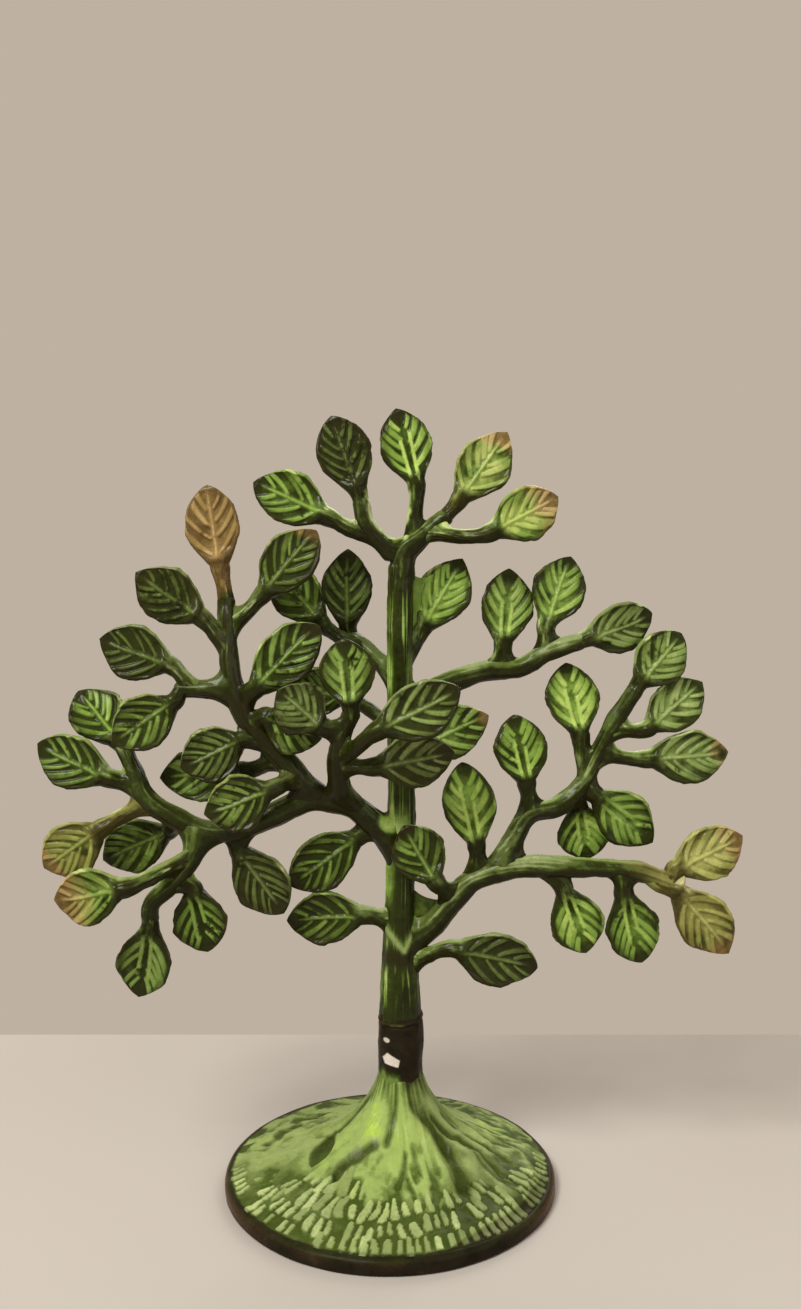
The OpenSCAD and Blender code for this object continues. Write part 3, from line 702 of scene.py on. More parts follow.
def leaf_part(index):
    """A stem that grows out of its carrier and widens into a cupped blade, with its masks."""
    leaf, look = LEAVES[index], LOOKS[index]
    rng = np.random.default_rng(LEAF_SEED + index)
    hand = rng.uniform(-1, 1, 10)
    blade_length, roll = leaf.blade[2], math.radians(leaf.roll)
    d, b = stem_axis(leaf), heading(*leaf.blade[:2])
    front = across(b, FRONT)
    n = math.cos(roll) * front + math.sin(roll) * np.cross(b, front)
    root, _, surface_r = on_carrier(leaf.carrier, leaf.place)
    foot = root + seat(leaf.carrier, leaf.place) * d
    heart = root + leaf.stem[2] * heading(*leaf.stem[:2])
    pull = np.linalg.norm(heart - foot) / 3
    p0, p1, p2, p3 = foot, foot + pull * d, heart - pull * b, heart
    # the line from foot to heart
    t = (np.linspace(0, 1, STEM_RINGS, endpoint=False) ** 1.25)[:, None]
    stem_line = (1 - t) ** 3 * p0 + 3 * (1 - t) ** 2 * t * p1 + 3 * (1 - t) * t * t * p2 + t ** 3 * p3
    stem_way = unit((1 - t) ** 2 * (p1 - p0) + 2 * (1 - t) * t * (p2 - p1) + t * t * (p3 - p2))
    dist = lengths(stem_line)
    to_heart = np.linalg.norm(heart - stem_line, axis=1)
    stem_r = STEM_R * (1 + 0.30 * ramp(7, 0, to_heart))
    ends_arm = at_end(leaf.carrier, leaf.place)
    if ends_arm:
        stem_r = mix(stem_r, surface_r, ramp(6, 0, dist))
    stem_line, stem_way, stem_r = round_start(stem_line, stem_way, stem_r)
    # the line on through the blade to its tip
    v = np.linspace(0, 1, BLADE_RINGS)
    u = mix(v, 0.5 - 0.5 * np.cos(math.pi * v), 0.35)
    side = np.cross(b, n)
    sway = 0.9 * hand[2] * np.sin(math.pi * u) * u
    curl = (LEAF_CURL * (1 + 0.35 * hand[6]) * u * u)[:, None]
    blade_line = heart + (blade_length * u)[:, None] * b - curl * n + sway[:, None] * side
    line = np.concatenate([stem_line, blade_line])
    way = np.concatenate([stem_way, np.repeat(b[None], BLADE_RINGS, 0)])
    stem_count = len(stem_line)
    u = np.concatenate([np.zeros(stem_count), u])
    normal = across(way, n)
    lateral = np.cross(way, normal)
    twist = (math.radians(10) * hand[3] * u ** 1.5)[:, None]
    normal, lateral = (np.cos(twist) * normal + np.sin(twist) * lateral,
                       np.cos(twist) * lateral - np.sin(twist) * normal)
    # half widths
    power = np.where(u < 0.5, 0.60 + 0.07 * hand[7], 0.71 + 0.08 * hand[8])
    outline = 1.03 * np.sin(math.pi * np.clip(u, 0, 1)) ** power
    bare = 1 - ramp(0.04, 0.24, u)
    neck_r = 1.30 * STEM_R
    half = ((LEAF_W / 2 * outline) ** 3 + (neck_r * bare) ** 3) ** (1 / 3)
    half[:stem_count] = stem_r
    half = np.maximum(half, 0.35)
    flat = ramp(0.0, 0.22, u)
    y_front = np.linspace(1, -1, FRONT_POINTS)
    y_back = np.linspace(-1, 1, BACK_POINTS + 2)[1:-1]
    y = np.concatenate([y_front, y_back])[None, :]
    is_front = np.concatenate([np.ones(FRONT_POINTS), np.zeros(BACK_POINTS)])[None, :]
    sign = np.where(is_front > 0, 1.0, -1.0)
    x = mix(np.sin(math.pi / 2 * y), y * (1.3 - 0.3 * y * y), flat[:, None])
    width, uu, ff = half[:, None], u[:, None] + 0 * y, flat[:, None]
    round_z = np.sqrt(np.clip(1 - x * x, 0, 1))
    waver = rough(np.stack([2.2 * np.sign(x) + 0 * uu, 5.2 * uu + 0 * x, 2.7 * index + 0 * x * uu], -1), 41)
    width = width * (1 + ff * x * x * (0.015 + 0.085 * waver) * ramp(0.08, 0.3, uu) * ramp(1.0, 0.9, uu))
    side_x, along = x * width, uu * blade_length
    # relief of the blade
    lift, brush = press_strokes(side_x, along, width, blade_length, look, rng)
    inside = ramp(0.92, 0.78, np.abs(x)) * ramp(0.02, 0.14, uu) * ramp(0.97, 0.87, uu)
    lip = np.maximum(ramp(0.80, 0.93, np.abs(x)), ramp(0.9, 1.0, uu)) * ramp(0.06, 0.24, uu)
    relief = 0.75 * lift * ramp(0.0, 0.12, uu) * ramp(1.0, 0.9, uu)
    relief = relief + 0.30 * lip * (1 + waver) - 0.26 * inside
    thick = LEAF_T / 2 * (1 - 0.35 * uu) * np.sqrt(np.clip(1 - np.abs(x) ** 6, 0, 1)) * ramp(1.02, 0.93, uu)
    cup = LEAF_CUP * (1 + 0.3 * hand[9]) * (side_x / (LEAF_W / 2)) ** 2
    wave = 0.45 * hand[4] * np.sin(2 * math.pi * (uu * 1.3 + 0.1 * hand[5])) * x
    z_blade = cup + wave + sign * thick + is_front * relief * np.sqrt(np.clip(1 - x ** 8, 0, 1))
    z_blade = z_blade - (1 - is_front) * 0.35 * bell(side_x, 1.2)
    z = mix(sign * width * round_z, z_blade, ff)
    rings = line[:, None] + side_x[..., None] * lateral[:, None] + z[..., None] * normal[:, None]
    outward = unit(x[..., None] * lateral[:, None] + (sign * round_z)[..., None] * normal[:, None] + 1e-9)
    # grooves along the stem and hand marks all over
    run = lengths(line)[:, None]
    groove = rough(np.stack([x * 2.6 + 5 * is_front, run * 0.16 + 0 * x, 0 * x + index], -1), 31)
    pits = rough(rings * 0.33, 47)
    rings = rings + (0.30 * groove * (1 - ff) + 0.15 * pits)[..., None] * outward
    if not ends_arm:
        rings = spread_root(rings, outward, leaf.carrier, min(5.5, 0.8 * (leaf.stem[2] - surface_r)))
    masks = leaf_masks(index, hand, rings, outward, groove, run, x, uu, is_front, brush, waver)
    return with_masks(skin(rings), **masks)


def leaf_masks(index, hand, rings, outward, groove, run, x, uu, is_front, brush, waver):
    """Leaf masks from stem root to tip: paint, grey, tan wear, brown rim, painted highlights and shade."""
    tone, grey, tan, tip, fill, _ = LOOKS[index]
    _, out_y, out_z = xyz(outward)
    # paint on the blade's front: strokes over a darker ground
    patch = rough(rings * 0.16 + index * 3.1, 61)
    fine = rough(rings * 0.8, 71)
    strokes = brush * ramp(-0.75, -0.1, patch + 0.5 * fine + 0.9 * tone - 0.2)
    near_rib = ramp(0.85, 0.30, np.abs(x) + 0.15 * fine) * ramp(0.92, 0.60, uu)
    ground = 0.78 * tone * fill * (0.15 + 0.85 * near_rib) * ramp(-1.0, 0.3, patch)
    ground = 0.07 + 0.10 * tone + ground
    front_paint = mix(ground, 0.30 + 0.66 * tone, strokes) + 0.05 * fine
    back_paint = 0.12 + 0.22 * tone + 0.22 * patch
    blade_paint = mix(back_paint, front_paint, is_front)
    # the stem: bark that turns into the leaf's own tone, with a pale root
    stem_tone = mix(PLAIN_TONE, 0.48 + 0.5 * tone, ramp(0, 8, run))
    stem_tone = stem_tone + 0.5 * (LEAVES[index].node == "back_leaf_1")
    # bark_masks paints light on the stem's top and shade under it
    stem_paint, stem_grey, stem_shade = bark_masks(rings, outward, groove, stem_tone)
    pale_root = ramp(7, 2, run) * ramp(-0.4, 0.3, 0.4 * patch - out_y) * ramp(-0.3, 0.3, groove)
    stem_paint = np.maximum(stem_paint, (0.30 + 0.35 * (1 + hand[8]) * tone) * pale_root)
    on_blade = ramp(0.0, 0.16, uu)
    # the brown rim, and how far from the tip it starts
    edge = 0.90 - 0.12 * (1 - fill) + 0.05 * hand[0] - 0.14 * uu
    tip_start = 0.88 - 0.12 * (1 - fill) * (1 + hand[1]) / 2
    rim = np.maximum(ramp(edge - 0.08, edge + 0.06, np.abs(x) + 0.10 * patch),
                     ramp(tip_start - 0.08, tip_start + 0.06, uu + 0.06 * patch))
    rim = rim * (0.26 + 0.52 * (1 - fill)) * ramp(0.0, 0.35, uu) * is_front + 0.45 * (1 - is_front)
    rim = rim * (1 - 0.6 * strokes) * ramp(-0.9, 0.3, waver + 0.4 * fine)
    # tan wear
    worn = tan * ramp(-1.1, 0.1, patch + 1.6 * (tan - 0.4))
    if tip > 0:
        worn = np.maximum(worn, 0.95 * ramp(1 - tip - 0.14, 1 - 0.35 * tip, uu + 0.14 * patch))
    rubbed = ramp(0.90, 0.97, np.abs(x)) * ramp(0.15, 0.6, rough(rings * 0.22, 83)) * ramp(0.1, 0.3, uu)
    on_stem = ramp(4, 9, run + 2.5 * patch + fine) if tan > 0.9 else 0.9
    stem_paint = np.maximum(stem_paint, (0.35 + 0.4 * groove) * worn * (tan < 0.9))
    paint = mix(stem_paint, blade_paint, on_blade)
    worn = np.maximum(worn * mix(on_stem, 1, on_blade), 0.5 * rubbed)
    # painted highlight on the blade's edges that face up
    edge_highlight = ramp(0.84, 0.93, np.abs(x)) * ramp(0.10, 0.7, out_z + 0.5 * patch) * on_blade
    rim = mix(stem_shade, rim, on_blade) * (1 - np.clip(worn * 1.15, 0, 1)) * (1 - 0.85 * edge_highlight)
    paint = paint + 0.22 * worn + 0.50 * edge_highlight
    grey_mask = mix(stem_grey, grey + 0.25 * edge_highlight, on_blade)
    return {"paint": paint, "grey": grey_mask, "worn": worn, "rim": rim}


def web_part(corners, tone):
    """A thin sheet of clay between a stem and a blade; its corners go round from the stem's foot."""
    foot, top, far_top, far_foot = (np.array(p, dtype=float) for p in corners)
    s = np.linspace(0, 1, 50)[:, None]
    turn = -circle(90)
    low, high = 0.16 * np.sin(math.pi * s), 1 - 0.10 * np.sin(math.pi * s)
    t = mix(low, high, 0.5 - 0.5 * np.cos(turn))
    near = mix(foot, top, t[..., None])
    rings = mix(near, mix(far_foot, far_top, t[..., None]), s[..., None])
    normal = unit(np.cross(far_foot - foot, top - foot))
    bulge = np.sign(np.sin(turn)) * np.abs(np.sin(turn)) ** 0.4 + 0 * s
    lumps = rough(rings * 0.25, 51)
    rings = rings + ((0.9 + 0.3 * lumps) * bulge)[..., None] * normal
    paint = tone + 0.14 * lumps - 0.45 * ramp(0.30, 0.0, s) - 0.35 * ramp(0.8, 1.0, s)
    edge = ramp(0.6, 0.2, np.abs(bulge))
    return with_masks(skin(rings), paint=paint, grey=0 * paint, worn=0 * paint, rim=0.3 * edge)


# Sheets that fill the forks right of the trunk: corners from the trunk's side, and paint
WEBS = {
    "back_leaf_1": ([[3, 3.5, 210], [3, 3.5, 236], [13.5, 5.2, 235], [10, 5.4, 214]], 0.74),
    "lower_right_limb": ([[2.5, -0.8, 95], [3, -0.8, 114], [15.5, -2.2, 108], [9, -1, 96]], 0.34),
}

for node in dict.fromkeys(leaf.node for leaf in LEAVES):
    parts = [leaf_part(i) for i, leaf in enumerate(LEAVES) if leaf.node == node]
    if node in WEBS:
        parts.append(web_part(*WEBS[node]))
    new_piece(node, parts, LEAF_PAINT, CLAY_MASKS)

# ---- limbs
LIMB_POINTS, TRUNK_POINTS, LIMB_STEP = 60, 120, 0.6


def bark_rings(line, way, radius, seed, depth, pitch, points):
    """Rings of a grooved tube, with its outward directions and groove heights."""
    front = across(way, FRONT)
    side = np.cross(way, front)
    angle = circle(points)
    outward = np.cos(angle)[..., None] * side[:, None] + np.sin(angle)[..., None] * front[:, None]
    dist = lengths(line)[:, None]
    place = around(angle + dist * 0.012, 2.4, dist / pitch)
    ridge = 1 - 2 * np.abs(noise(place, seed))
    finer = rough(place * [2.1, 2.1, 1.6], seed + 5)
    groove = 0.65 * ridge + 0.35 * finer
    pits = rough(line[:, None] * 0.3 + outward * 1.5, seed + 9)
    r = radius[:, None] + depth * groove + 0.20 * pits
    return line[:, None] + r[..., None] * outward, outward, groove


def limb_part(arm, index):
    path = route(arm)
    t = np.linspace(0, len(arm.points), int(lengths(path)[-1] / LIMB_STEP))
    line, way = spline(path, t), spline_axis(path, t)
    dist = lengths(line)
    knuckle = 0.35 * noise(np.stack([dist * 0.13, 0 * dist, 0 * dist + index], -1), 17)
    radius = arm_r(arm, t) + knuckle * ramp(dist[-1], dist[-1] - 5, dist)
    on_top = arm.carrier == "trunk" and arm.place > TRUNK_TOP - 8
    if on_top:
        # the limb starts lower, inside the trunk, so that it grows straight on from it
        radius = mix(radius, 1.03 * trunk_r(arm.place), ramp(16, 3, dist))
        lead = np.arange(8, 0, -1)[:, None] * LIMB_STEP
        line = np.concatenate([line[0] - lead * UP, line])
        way = np.concatenate([unit(mix(way[0], UP, lead / lead[0])), way])
        radius = np.concatenate([np.full(len(lead), radius[0]), radius])
    line, way, radius = round_start(line, way, radius)
    line, way, radius = (a[::-1] for a in round_start(line[::-1], -way[::-1], radius[::-1]))
    rings, outward, groove = bark_rings(line, -way, radius, 100 + index, 0.40, 22, LIMB_POINTS)
    if not on_top:
        rings = spread_root(rings, outward, arm.carrier, 7.0)
    x, _, z = xyz(rings)
    _, out_y, out_z = xyz(outward)
    # painted light on the tops and painted shade below, from bark_masks
    paint, grey, brown = bark_masks(rings, outward, groove, LIMB_TONES.get(arm.name, PLAIN_TONE))
    worn = 0 * paint
    if arm.name == "upper_left_limb":
        brown = np.maximum(brown, 0.75 * ramp(0.35, -0.35, groove - 0.3 * out_z))
    if arm.name == "lower_left_limb":
        # a painted highlight at the front of its root
        patch = ramp(6.0, 3.8, np.hypot(x + 4.0, z - 139.5) + 1.5 * groove) * ramp(0.0, 0.4, -out_y)
        paint, grey, brown = mix(paint, 0.84, patch), mix(grey, 0, patch), mix(brown, 0, patch)
    if arm.name == "lower_right_limb":
        # worn to tan towards its end
        to_end = (lengths(line)[-1] - lengths(line))[:, None]
        worn = 0.55 * ramp(26, 6, to_end + 8 * groove)
        paint = mix(paint, 0.62 + 0.2 * groove, ramp(20, 6, to_end))
    return with_masks(skin(rings), paint=paint, grey=grey, worn=worn, rim=brown * (1 - worn))


for node in dict.fromkeys(node_of(name) for name in ARMS):
    parts = [limb_part(arm, i) for i, arm in enumerate(ARMS.values()) if node_of(arm.name) == node]
    if node in WEBS:
        parts.append(web_part(*WEBS[node]))
    new_piece(node, parts, BARK_PAINT, CLAY_MASKS)

# ---- trunk
# The ridge pressed in a V where the lowest limb leaves the trunk, across and up
VEE = [[-8, 101], [1.3, 89.5], [8, 102]]

heights = np.linspace(COLLAR_TOP - 4, TRUNK_TOP + 1.5, 330)
level = heights[:, None]
line = np.stack([0.35 * np.sin(heights / 19), 0.3 * np.cos(heights / 23), heights], -1)
round_top = np.sqrt(np.clip(1 - np.clip((heights - TRUNK_TOP + 2) / 3.6, 0, 1) ** 2, 0.01, 1))
way = np.repeat(UP[None], len(heights), 0)
rings, outward, groove = bark_rings(line, way, trunk_r(heights) * round_top, 7, 0.55, 34, TRUNK_POINTS)
x, _, z = xyz(rings)
out_x, out_y, _ = xyz(outward)
patch = rough(rings * 0.06, 41)
fine = rough(rings * 0.5, 43)
threads = 1 - 2 * np.abs(noise(around(np.arctan2(out_y, out_x), 4.2, level / 55), 19))
threads = ramp(0.62, 0.95, threads + 0.12 * patch) * ramp(-0.5, 0.2, patch + 0.25)
# painted light: the threads are brighter on the trunk's front and left side
front_left_light = ramp(-0.9, 0.6, -out_y - 0.45 * out_x)
# painted highlight down the trunk's left side
left_highlight = ramp(0.35, 0.95, -out_x - 0.2 * out_y)
# painted highlight in the crotch where the lowest left limb leaves the trunk
crotch_highlight = bell(level - 135, 9) * ramp(0.2, 0.9, -out_y - 0.3 * out_x)
foot_lines = ramp(92, 70, level) * ramp(0.35, 0.8, groove)
paint = 0.13 + 0.10 * patch + 0.62 * threads * (0.3 + 0.7 * front_left_light) + 0.20 * left_highlight
paint = np.maximum(paint, 0.92 * crotch_highlight) + 0.30 * foot_lines * front_left_light + 0.05 * fine
paint = paint + 0.45 * bell(level - 196, 9) * ramp(0.2, 0.8, np.abs(out_x))
paint = paint + 0.40 * left_highlight * bell(level - 114, 14)
vee = bell(from_line(x, z, VEE)[0], 1.5) * ramp(0.2, 0.6, -out_y)
# painted shade under and inside the V, and the darker foot of the trunk above the collar
shade_and_dark_foot = 1.2 * bell(level - 86.5, 4.2) + ramp(72, 66, level) + bell(level - 102, 7)
paint = mix(paint, 0.10, np.clip(0.8 * shade_and_dark_foot, 0, 0.9)) * (1 - vee) + 0.76 * vee
rings = rings + (0.22 * threads + 0.8 * vee)[..., None] * outward
# the top takes on the bark of the fork, with its painted light and shade
near_fork = ramp(TRUNK_TOP - 20, TRUNK_TOP - 4, level)
bark_paint, bark_grey, bark_shade = bark_masks(rings, outward, groove, PLAIN_TONE)
paint = mix(paint, np.maximum(bark_paint, 0.6 * threads), near_fork)
grey = mix(np.clip(0.12 + 0.3 * patch + 0.6 * vee, 0, 0.7), bark_grey, near_fork)
brown = mix(0.55 * ramp(0.10, -0.6, groove + 0.2 * patch) * (1 - crotch_highlight), bark_shade, near_fork)
# painted brown shade at the point of the V
brown = np.maximum(brown, 0.7 * bell(level - 86.5, 3.8) * (1 - vee))
trunk_part = with_masks(skin(rings), paint=paint, grey=grey, worn=0 * paint, rim=brown)
new_piece("trunk", [trunk_part], BARK_PAINT, CLAY_MASKS)

# ---- neck collar
COLLAR_POINTS, COLLAR_RINGS = 200, 120
# Corners of the white chip, across and up, going clockwise
CHIP = [[-5.1, 51.1], [-0.3, 48.6], [-0.9, 45.9], [-6.0, 46.8], [-6.9, 49.0]]


def glaze_foot(turn, x):
    """Height where the dark glaze of the collar gives way to the mound's green."""
    streaks = noise(around(turn, 4.5, 0), 53)
    front = np.where(np.sin(turn) < 0, 1.0, 0.0)
    return COLLAR_FOOT + 1.6 + 2.2 * streaks + front * (2.4 * ramp(1, -2, x) - 5 * bell(x - 3.2, 2.2))


level = np.linspace(COLLAR_FOOT - 1.5, COLLAR_TOP + 0.6, COLLAR_RINGS)[:, None]
angle = circle(COLLAR_POINTS) + 0 * level
wall_z = [COLLAR_FOOT, COLLAR_FOOT + 6, COLLAR_FOOT + 13, COLLAR_TOP - 5, COLLAR_TOP]
wall = np.interp(level, wall_z, [COLLAR_R - 0.2, COLLAR_R - 0.3, COLLAR_R, COLLAR_R - 0.3, 8.1])
wall = wall * np.sqrt(1 - 0.32 * ramp(COLLAR_TOP - 1.2, COLLAR_TOP + 0.9, level))
swell = rough(around(angle, 1.2, level / 9), 51)
upright = noise(around(angle, 2.6, level / 30), 53)
crack_z = COLLAR_TOP - 3.2 + 1.1 * np.sin(angle + 0.4)
over_crack = level - crack_z - 0.9
r = wall + 0.3 * swell + 0.2 * upright + 0.35 * bell(over_crack, 0.6) - 0.3 * bell(level - crack_z, 0.4)
out_x, out_y = np.cos(angle), np.sin(angle)
x, y = out_x * r, out_y * r
z = level + 0.5 * np.sin(angle * 2 + 1) * ramp(COLLAR_TOP - 3, COLLAR_TOP, level)
outside = np.full_like(x, -9.0)
for (ax, az), (bx, bz) in zip(CHIP, CHIP[1:] + CHIP[:1]):
    beyond = ((z - az) * (bx - ax) - (x - ax) * (bz - az)) / math.hypot(bx - ax, bz - az)
    outside = np.maximum(outside, beyond)
# painted highlight: a small white spot above the chip, drawn in the chip's clay colour
highlight_spot = ramp(1.15, 0.85, np.hypot((x + 5.4) / 1.2, (z - 55.8) / 0.9))
chip = np.maximum(ramp(0.2, -0.2, outside), 0.8 * highlight_spot) * ramp(0.1, 0.4, -out_y)
edge_noise = rough(np.stack([x * 0.35, y * 0.35, z * 0.25], -1), 59)
moss = 0.52 * ramp(2.6, -2.6, z - glaze_foot(angle, x) + 1.2 * edge_noise)
# painted highlight along the ledge over the crack, drawn with the moss and rubbed colours
ledge_highlight = bell(over_crack, 0.55) * ramp(-0.1, 0.5, swell + 0.2)
side_wear = ramp(0.5, 1.0, np.abs(out_x)) * ramp(0.0, 0.6, edge_noise + 0.2)
sunk = 1 - 0.035 * chip
collar_part = with_masks(skin(np.stack([x * sunk, y * sunk, z], -1)), chip=chip,
                         paint=np.maximum(moss, 0.42 * ledge_highlight) * (1 - chip),
                         worn=np.clip(0.30 * ledge_highlight + 0.20 * side_wear, 0, 1))
new_piece("neck_collar", [collar_part], GLAZE, GLAZE_MASKS)

# ---- root mound
MOUND_SPREAD = SLAB_R + 6.5
AROUND, OUTWARD = 600, 160
RIM_REACH = SLAB_R - 2.1

# Folds pressed by hand, about the trunk's axis: points, half width, height, tone, grey
FOLDS = [
    [[[-7, -6], [-9, -9], [-11, -14], [-8, -23]], 2.4, 1.3, 0.92, 0.0],
    [[[1, -9], [4, -13], [6, -16], [10, -20], [8, -29]], 2.3, 1.2, 0.80, 0.1],
    [[[7, -7], [15, -6], [26, -10], [37, -19]], 2.8, 1.5, 0.74, 0.6],
    [[[13, -13], [20, -15], [29, -17], [36, -26], [41, -32]], 2.2, 1.1, 0.66, 0.6],
    [[[11, -13], [15, -18], [18, -26], [14, -34]], 1.8, 0.9, 0.70, 0.3],
    [[[-3, -22], [-8, -28], [-12, -36]], 2.2, 0.8, 0.76, 0.1],
    [[[-14, -8], [-20, -9], [-27, -17], [-31, -27]], 2.6, 0.9, 0.74, 0.0],
    [[[9, -2], [20, 4], [34, 8]], 2.8, 0.9, 0.6, 0.4],
    [[[-12, 3], [-24, 6], [-38, 10]], 3.0, 0.9, 0.62, 0.1],
    [[[-4, -8], [-3, -12], [-4, -16], [-6, -21]], 1.3, -1.2, 0.28, 0.1],
    [[[5, -10], [10, -12], [15, -15], [20, -21], [23, -27], [20, -38]], 2.6, -1.8, 0.20, 0.6],
    [[[12, -9], [19, -10], [30, -12], [40, -21]], 1.2, -1.2, 0.20, 0.4],
    [[[16, -3], [26, -2], [36, -6], [46, -12]], 1.2, -0.9, 0.26, 0.3],
    [[[2, -22], [1, -28], [-2, -34]], 1.1, -0.8, 0.30, 0.4],
    [[[-10, -2], [-15, 0], [-22, -1], [-27, -3]], 1.5, -1.0, 0.26, 0.2],
    [[[-9, -19], [-19, -20], [-25, -27]], 1.8, -0.9, 0.34, 0.7],
    [[[33, 24], [41, 19], [53, 17]], 1.8, -0.7, 0.25, 0.2],
    [[[-36, 28], [-46, 30]], 2.2, -0.7, 0.26, 0.1],
    [[[-48, -13], [-51, -24]], 2.2, -0.7, 0.28, 0.1],
    [[[28, -14], [35, -22], [44, -24]], 1.3, -0.8, 0.28, 0.3],
]
# Rows of dashes about the slab's centre: radius, half length, shift, first and last angle
DASH_ROWS = [
    [58.2, 3.0, 0.0, -179, 9],
    [51.2, 3.7, 0.37, -166, -8],
    [43.0, 4.5, 0.71, -156, -34],
    [34.2, 5.2, 0.15, -148, -100],
]


angle = circle(AROUND)
share = np.linspace(0, 1, OUTWARD)[:, None] ** 1.2
inner_r, outer_r = COLLAR_R - 1.0, RIM_REACH + 0.4
x = inner_r * np.cos(angle) * (1 - share) + (outer_r * np.cos(angle) - TRUNK_X) * share
y = inner_r * np.sin(angle) * (1 - share) + outer_r * np.sin(angle) * share
r = np.hypot(x, y)
edge_r = np.hypot(x + TRUNK_X, y)
phi = np.arctan2(y, x)
edge_deg = np.degrees(np.arctan2(y, x + TRUNK_X))
fall = (1 / np.maximum(r, COLLAR_R) - 1 / MOUND_SPREAD) / (1 / COLLAR_R - 1 / MOUND_SPREAD)
base_z = RIM_H + (MOUND_H - RIM_H) * np.clip(fall, 0, None) ** 0.8
plan = np.stack([x, y, 0 * x], -1)

# root folds that run down from the trunk and fade towards the rim
flow = phi + 0.40 * noise(plan * 0.05, 3)
fold_at = around(flow, 2.3, r * 0.022)
folds = 1 - 2 * np.abs(noise(fold_at, 5))
folds_fine = 1 - 2 * np.abs(noise(fold_at * [2.3, 2.3, 1.5], 8))
brushed = rough(around(flow, 7, r * 0.06), 21)
streaks = 1 - 2.2 * np.abs(noise(around(flow, 6.5, r * 0.11), 33))
fade = ramp(54, 26, r) * ramp(8.5, 15, r)
lumps = rough(plan * 0.09, 13)
blotches = rough(plan * 0.06, 37)
grit = rough(np.stack([x, y, base_z], -1) * 0.25, 19)
mottle = rough(plan * 0.30, 97) * ramp(16, 26, r)
detail = fade * (1.0 * folds + 0.6 * folds_fine) + 0.75 * lumps * ramp(14, 30, r)
detail = detail + 0.35 * mottle + (0.25 * brushed + 0.45 * streaks * ramp(60, 40, r)) * ramp(10, 18, r)

# paint of the ground: pale brushed tops over dark green recesses
tops = 0.7 * folds * fade + 0.6 * lumps + 0.4 * folds_fine * fade + 0.35 * brushed + 0.75 * streaks
tops = ramp(-0.45, 0.55, tops + 0.45 * blotches + 0.45 * mottle)
centre = bell(np.hypot(x, y + 22), 20)
paint = 0.23 + 0.50 * tops + 0.10 * centre + 0.08 * ramp(0, 25, x)
grey = 0.36 - 0.36 * centre + 0.35 * ramp(4, 36, x) * ramp(14, -14, y) + 0.15 * blotches

# short raised dashes in loose rows
dash, dash_tone = np.zeros_like(r), np.zeros_like(r)
for number, (row_r, half_long, shift, first, last) in enumerate(DASH_ROWS):
    total = int(2 * math.pi * row_r / 3.75)
    turn = edge_deg / 360 * total + shift + 0.5 * noise(plan * 0.10, 90 + number)
    which = np.floor(turn)
    cell = np.stack([which, 0 * which + number, 0 * which], -1).astype(np.int64)
    jitter, longer, tilt, there = (lattice(cell, seed) for seed in (1, 2, 3, 4))
    middle = row_r + (1.5 * jitter + 1.4 * np.sin(np.radians(edge_deg) * 3 + number)) * (number > 0)
    off = (turn - which - 0.5) * 2 * math.pi * row_r / total - 0.2 * jitter
    radial = edge_r - middle
    off = off - 0.11 * tilt * radial
    half_wide = (1.30 + 0.28 * longer) * (1 + 0.05 * radial)
    stretch = half_long * (1 + 0.28 * longer)
    shape = ramp(1.25, 0.5, np.abs(off / half_wide) ** 3 + np.abs(radial / stretch) ** 4)
    keep = (there > -0.80) * ramp(first, first + 8, edge_deg) * ramp(last, last - 8, edge_deg)
    dash_tone = np.where(shape * keep > dash, jitter, dash_tone)
    dash = np.maximum(dash, shape * keep)
row_zone = ramp(-176, -150, edge_deg) * ramp(2, -30, edge_deg)
row_zone = row_zone * ramp(36, 46, edge_r + 5 * blotches + 6 * ramp(-100, -140, edge_deg))
rim_zone = ramp(53, 57, edge_r + 2 * blotches) * ramp(-184, -170, edge_deg) * ramp(14, 2, edge_deg)
row_zone = np.maximum(row_zone, 0.8 * rim_zone)
detail = detail * (1 - 0.5 * row_zone) + 0.75 * dash - 0.25 * row_zone
ground = 0.27 + 0.12 * blotches + 0.10 * brushed
paint = mix(paint, ground, 0.88 * row_zone)
paint = mix(paint, 0.80 + 0.10 * dash_tone + 0.12 * centre + 0.08 * blotches, ramp(0.35, 0.75, dash))
grey = grey + 0.36 * dash

# the folds pressed by hand
for points, wide, height, tone, fold_grey in FOLDS:
    line = spline(points, np.linspace(0, len(points) - 1, 4 * len(points)))
    gap, along = from_line(x, y, line)
    body = bell(gap, wide * (0.8 + 0.6 * along)) * ramp(1.0, 0.82, along) * ramp(0, 1.5, r - COLLAR_R + 1)
    detail = detail + height * body
    cover = np.clip(1.15 * body * (1 + 0.5 * brushed), 0, 0.95)
    paint = mix(paint, tone + 0.06 * grit, cover)
    grey = mix(grey, fold_grey, cover)

# darker towards the collar
under_collar = ramp(MOUND_H - 12, MOUND_H - 1, base_z)
paint = mix(paint, 0.46 + 0.22 * streaks, under_collar)

# the knot at the left
knot_x, knot_y = x + 29.6, y + 9.0
knot = np.abs(0.94 * knot_x - 0.34 * knot_y) / 4.3 + ((0.34 * knot_x + 0.94 * knot_y) / 9.4) ** 2
knot_in, knot_lip = ramp(1.08, 0.85, knot), bell(knot - 1.25, 0.18)
detail = mix(detail, 0.3, bell(knot, 1.6)) - 0.9 * knot_in + 0.6 * knot_lip
paint = mix(paint, 0.14 + 0.12 * ramp(2, -4, knot_y), 0.95 * knot_in)
paint = mix(paint, 0.72, 0.7 * knot_lip * ramp(3, -3, knot_x + knot_y))

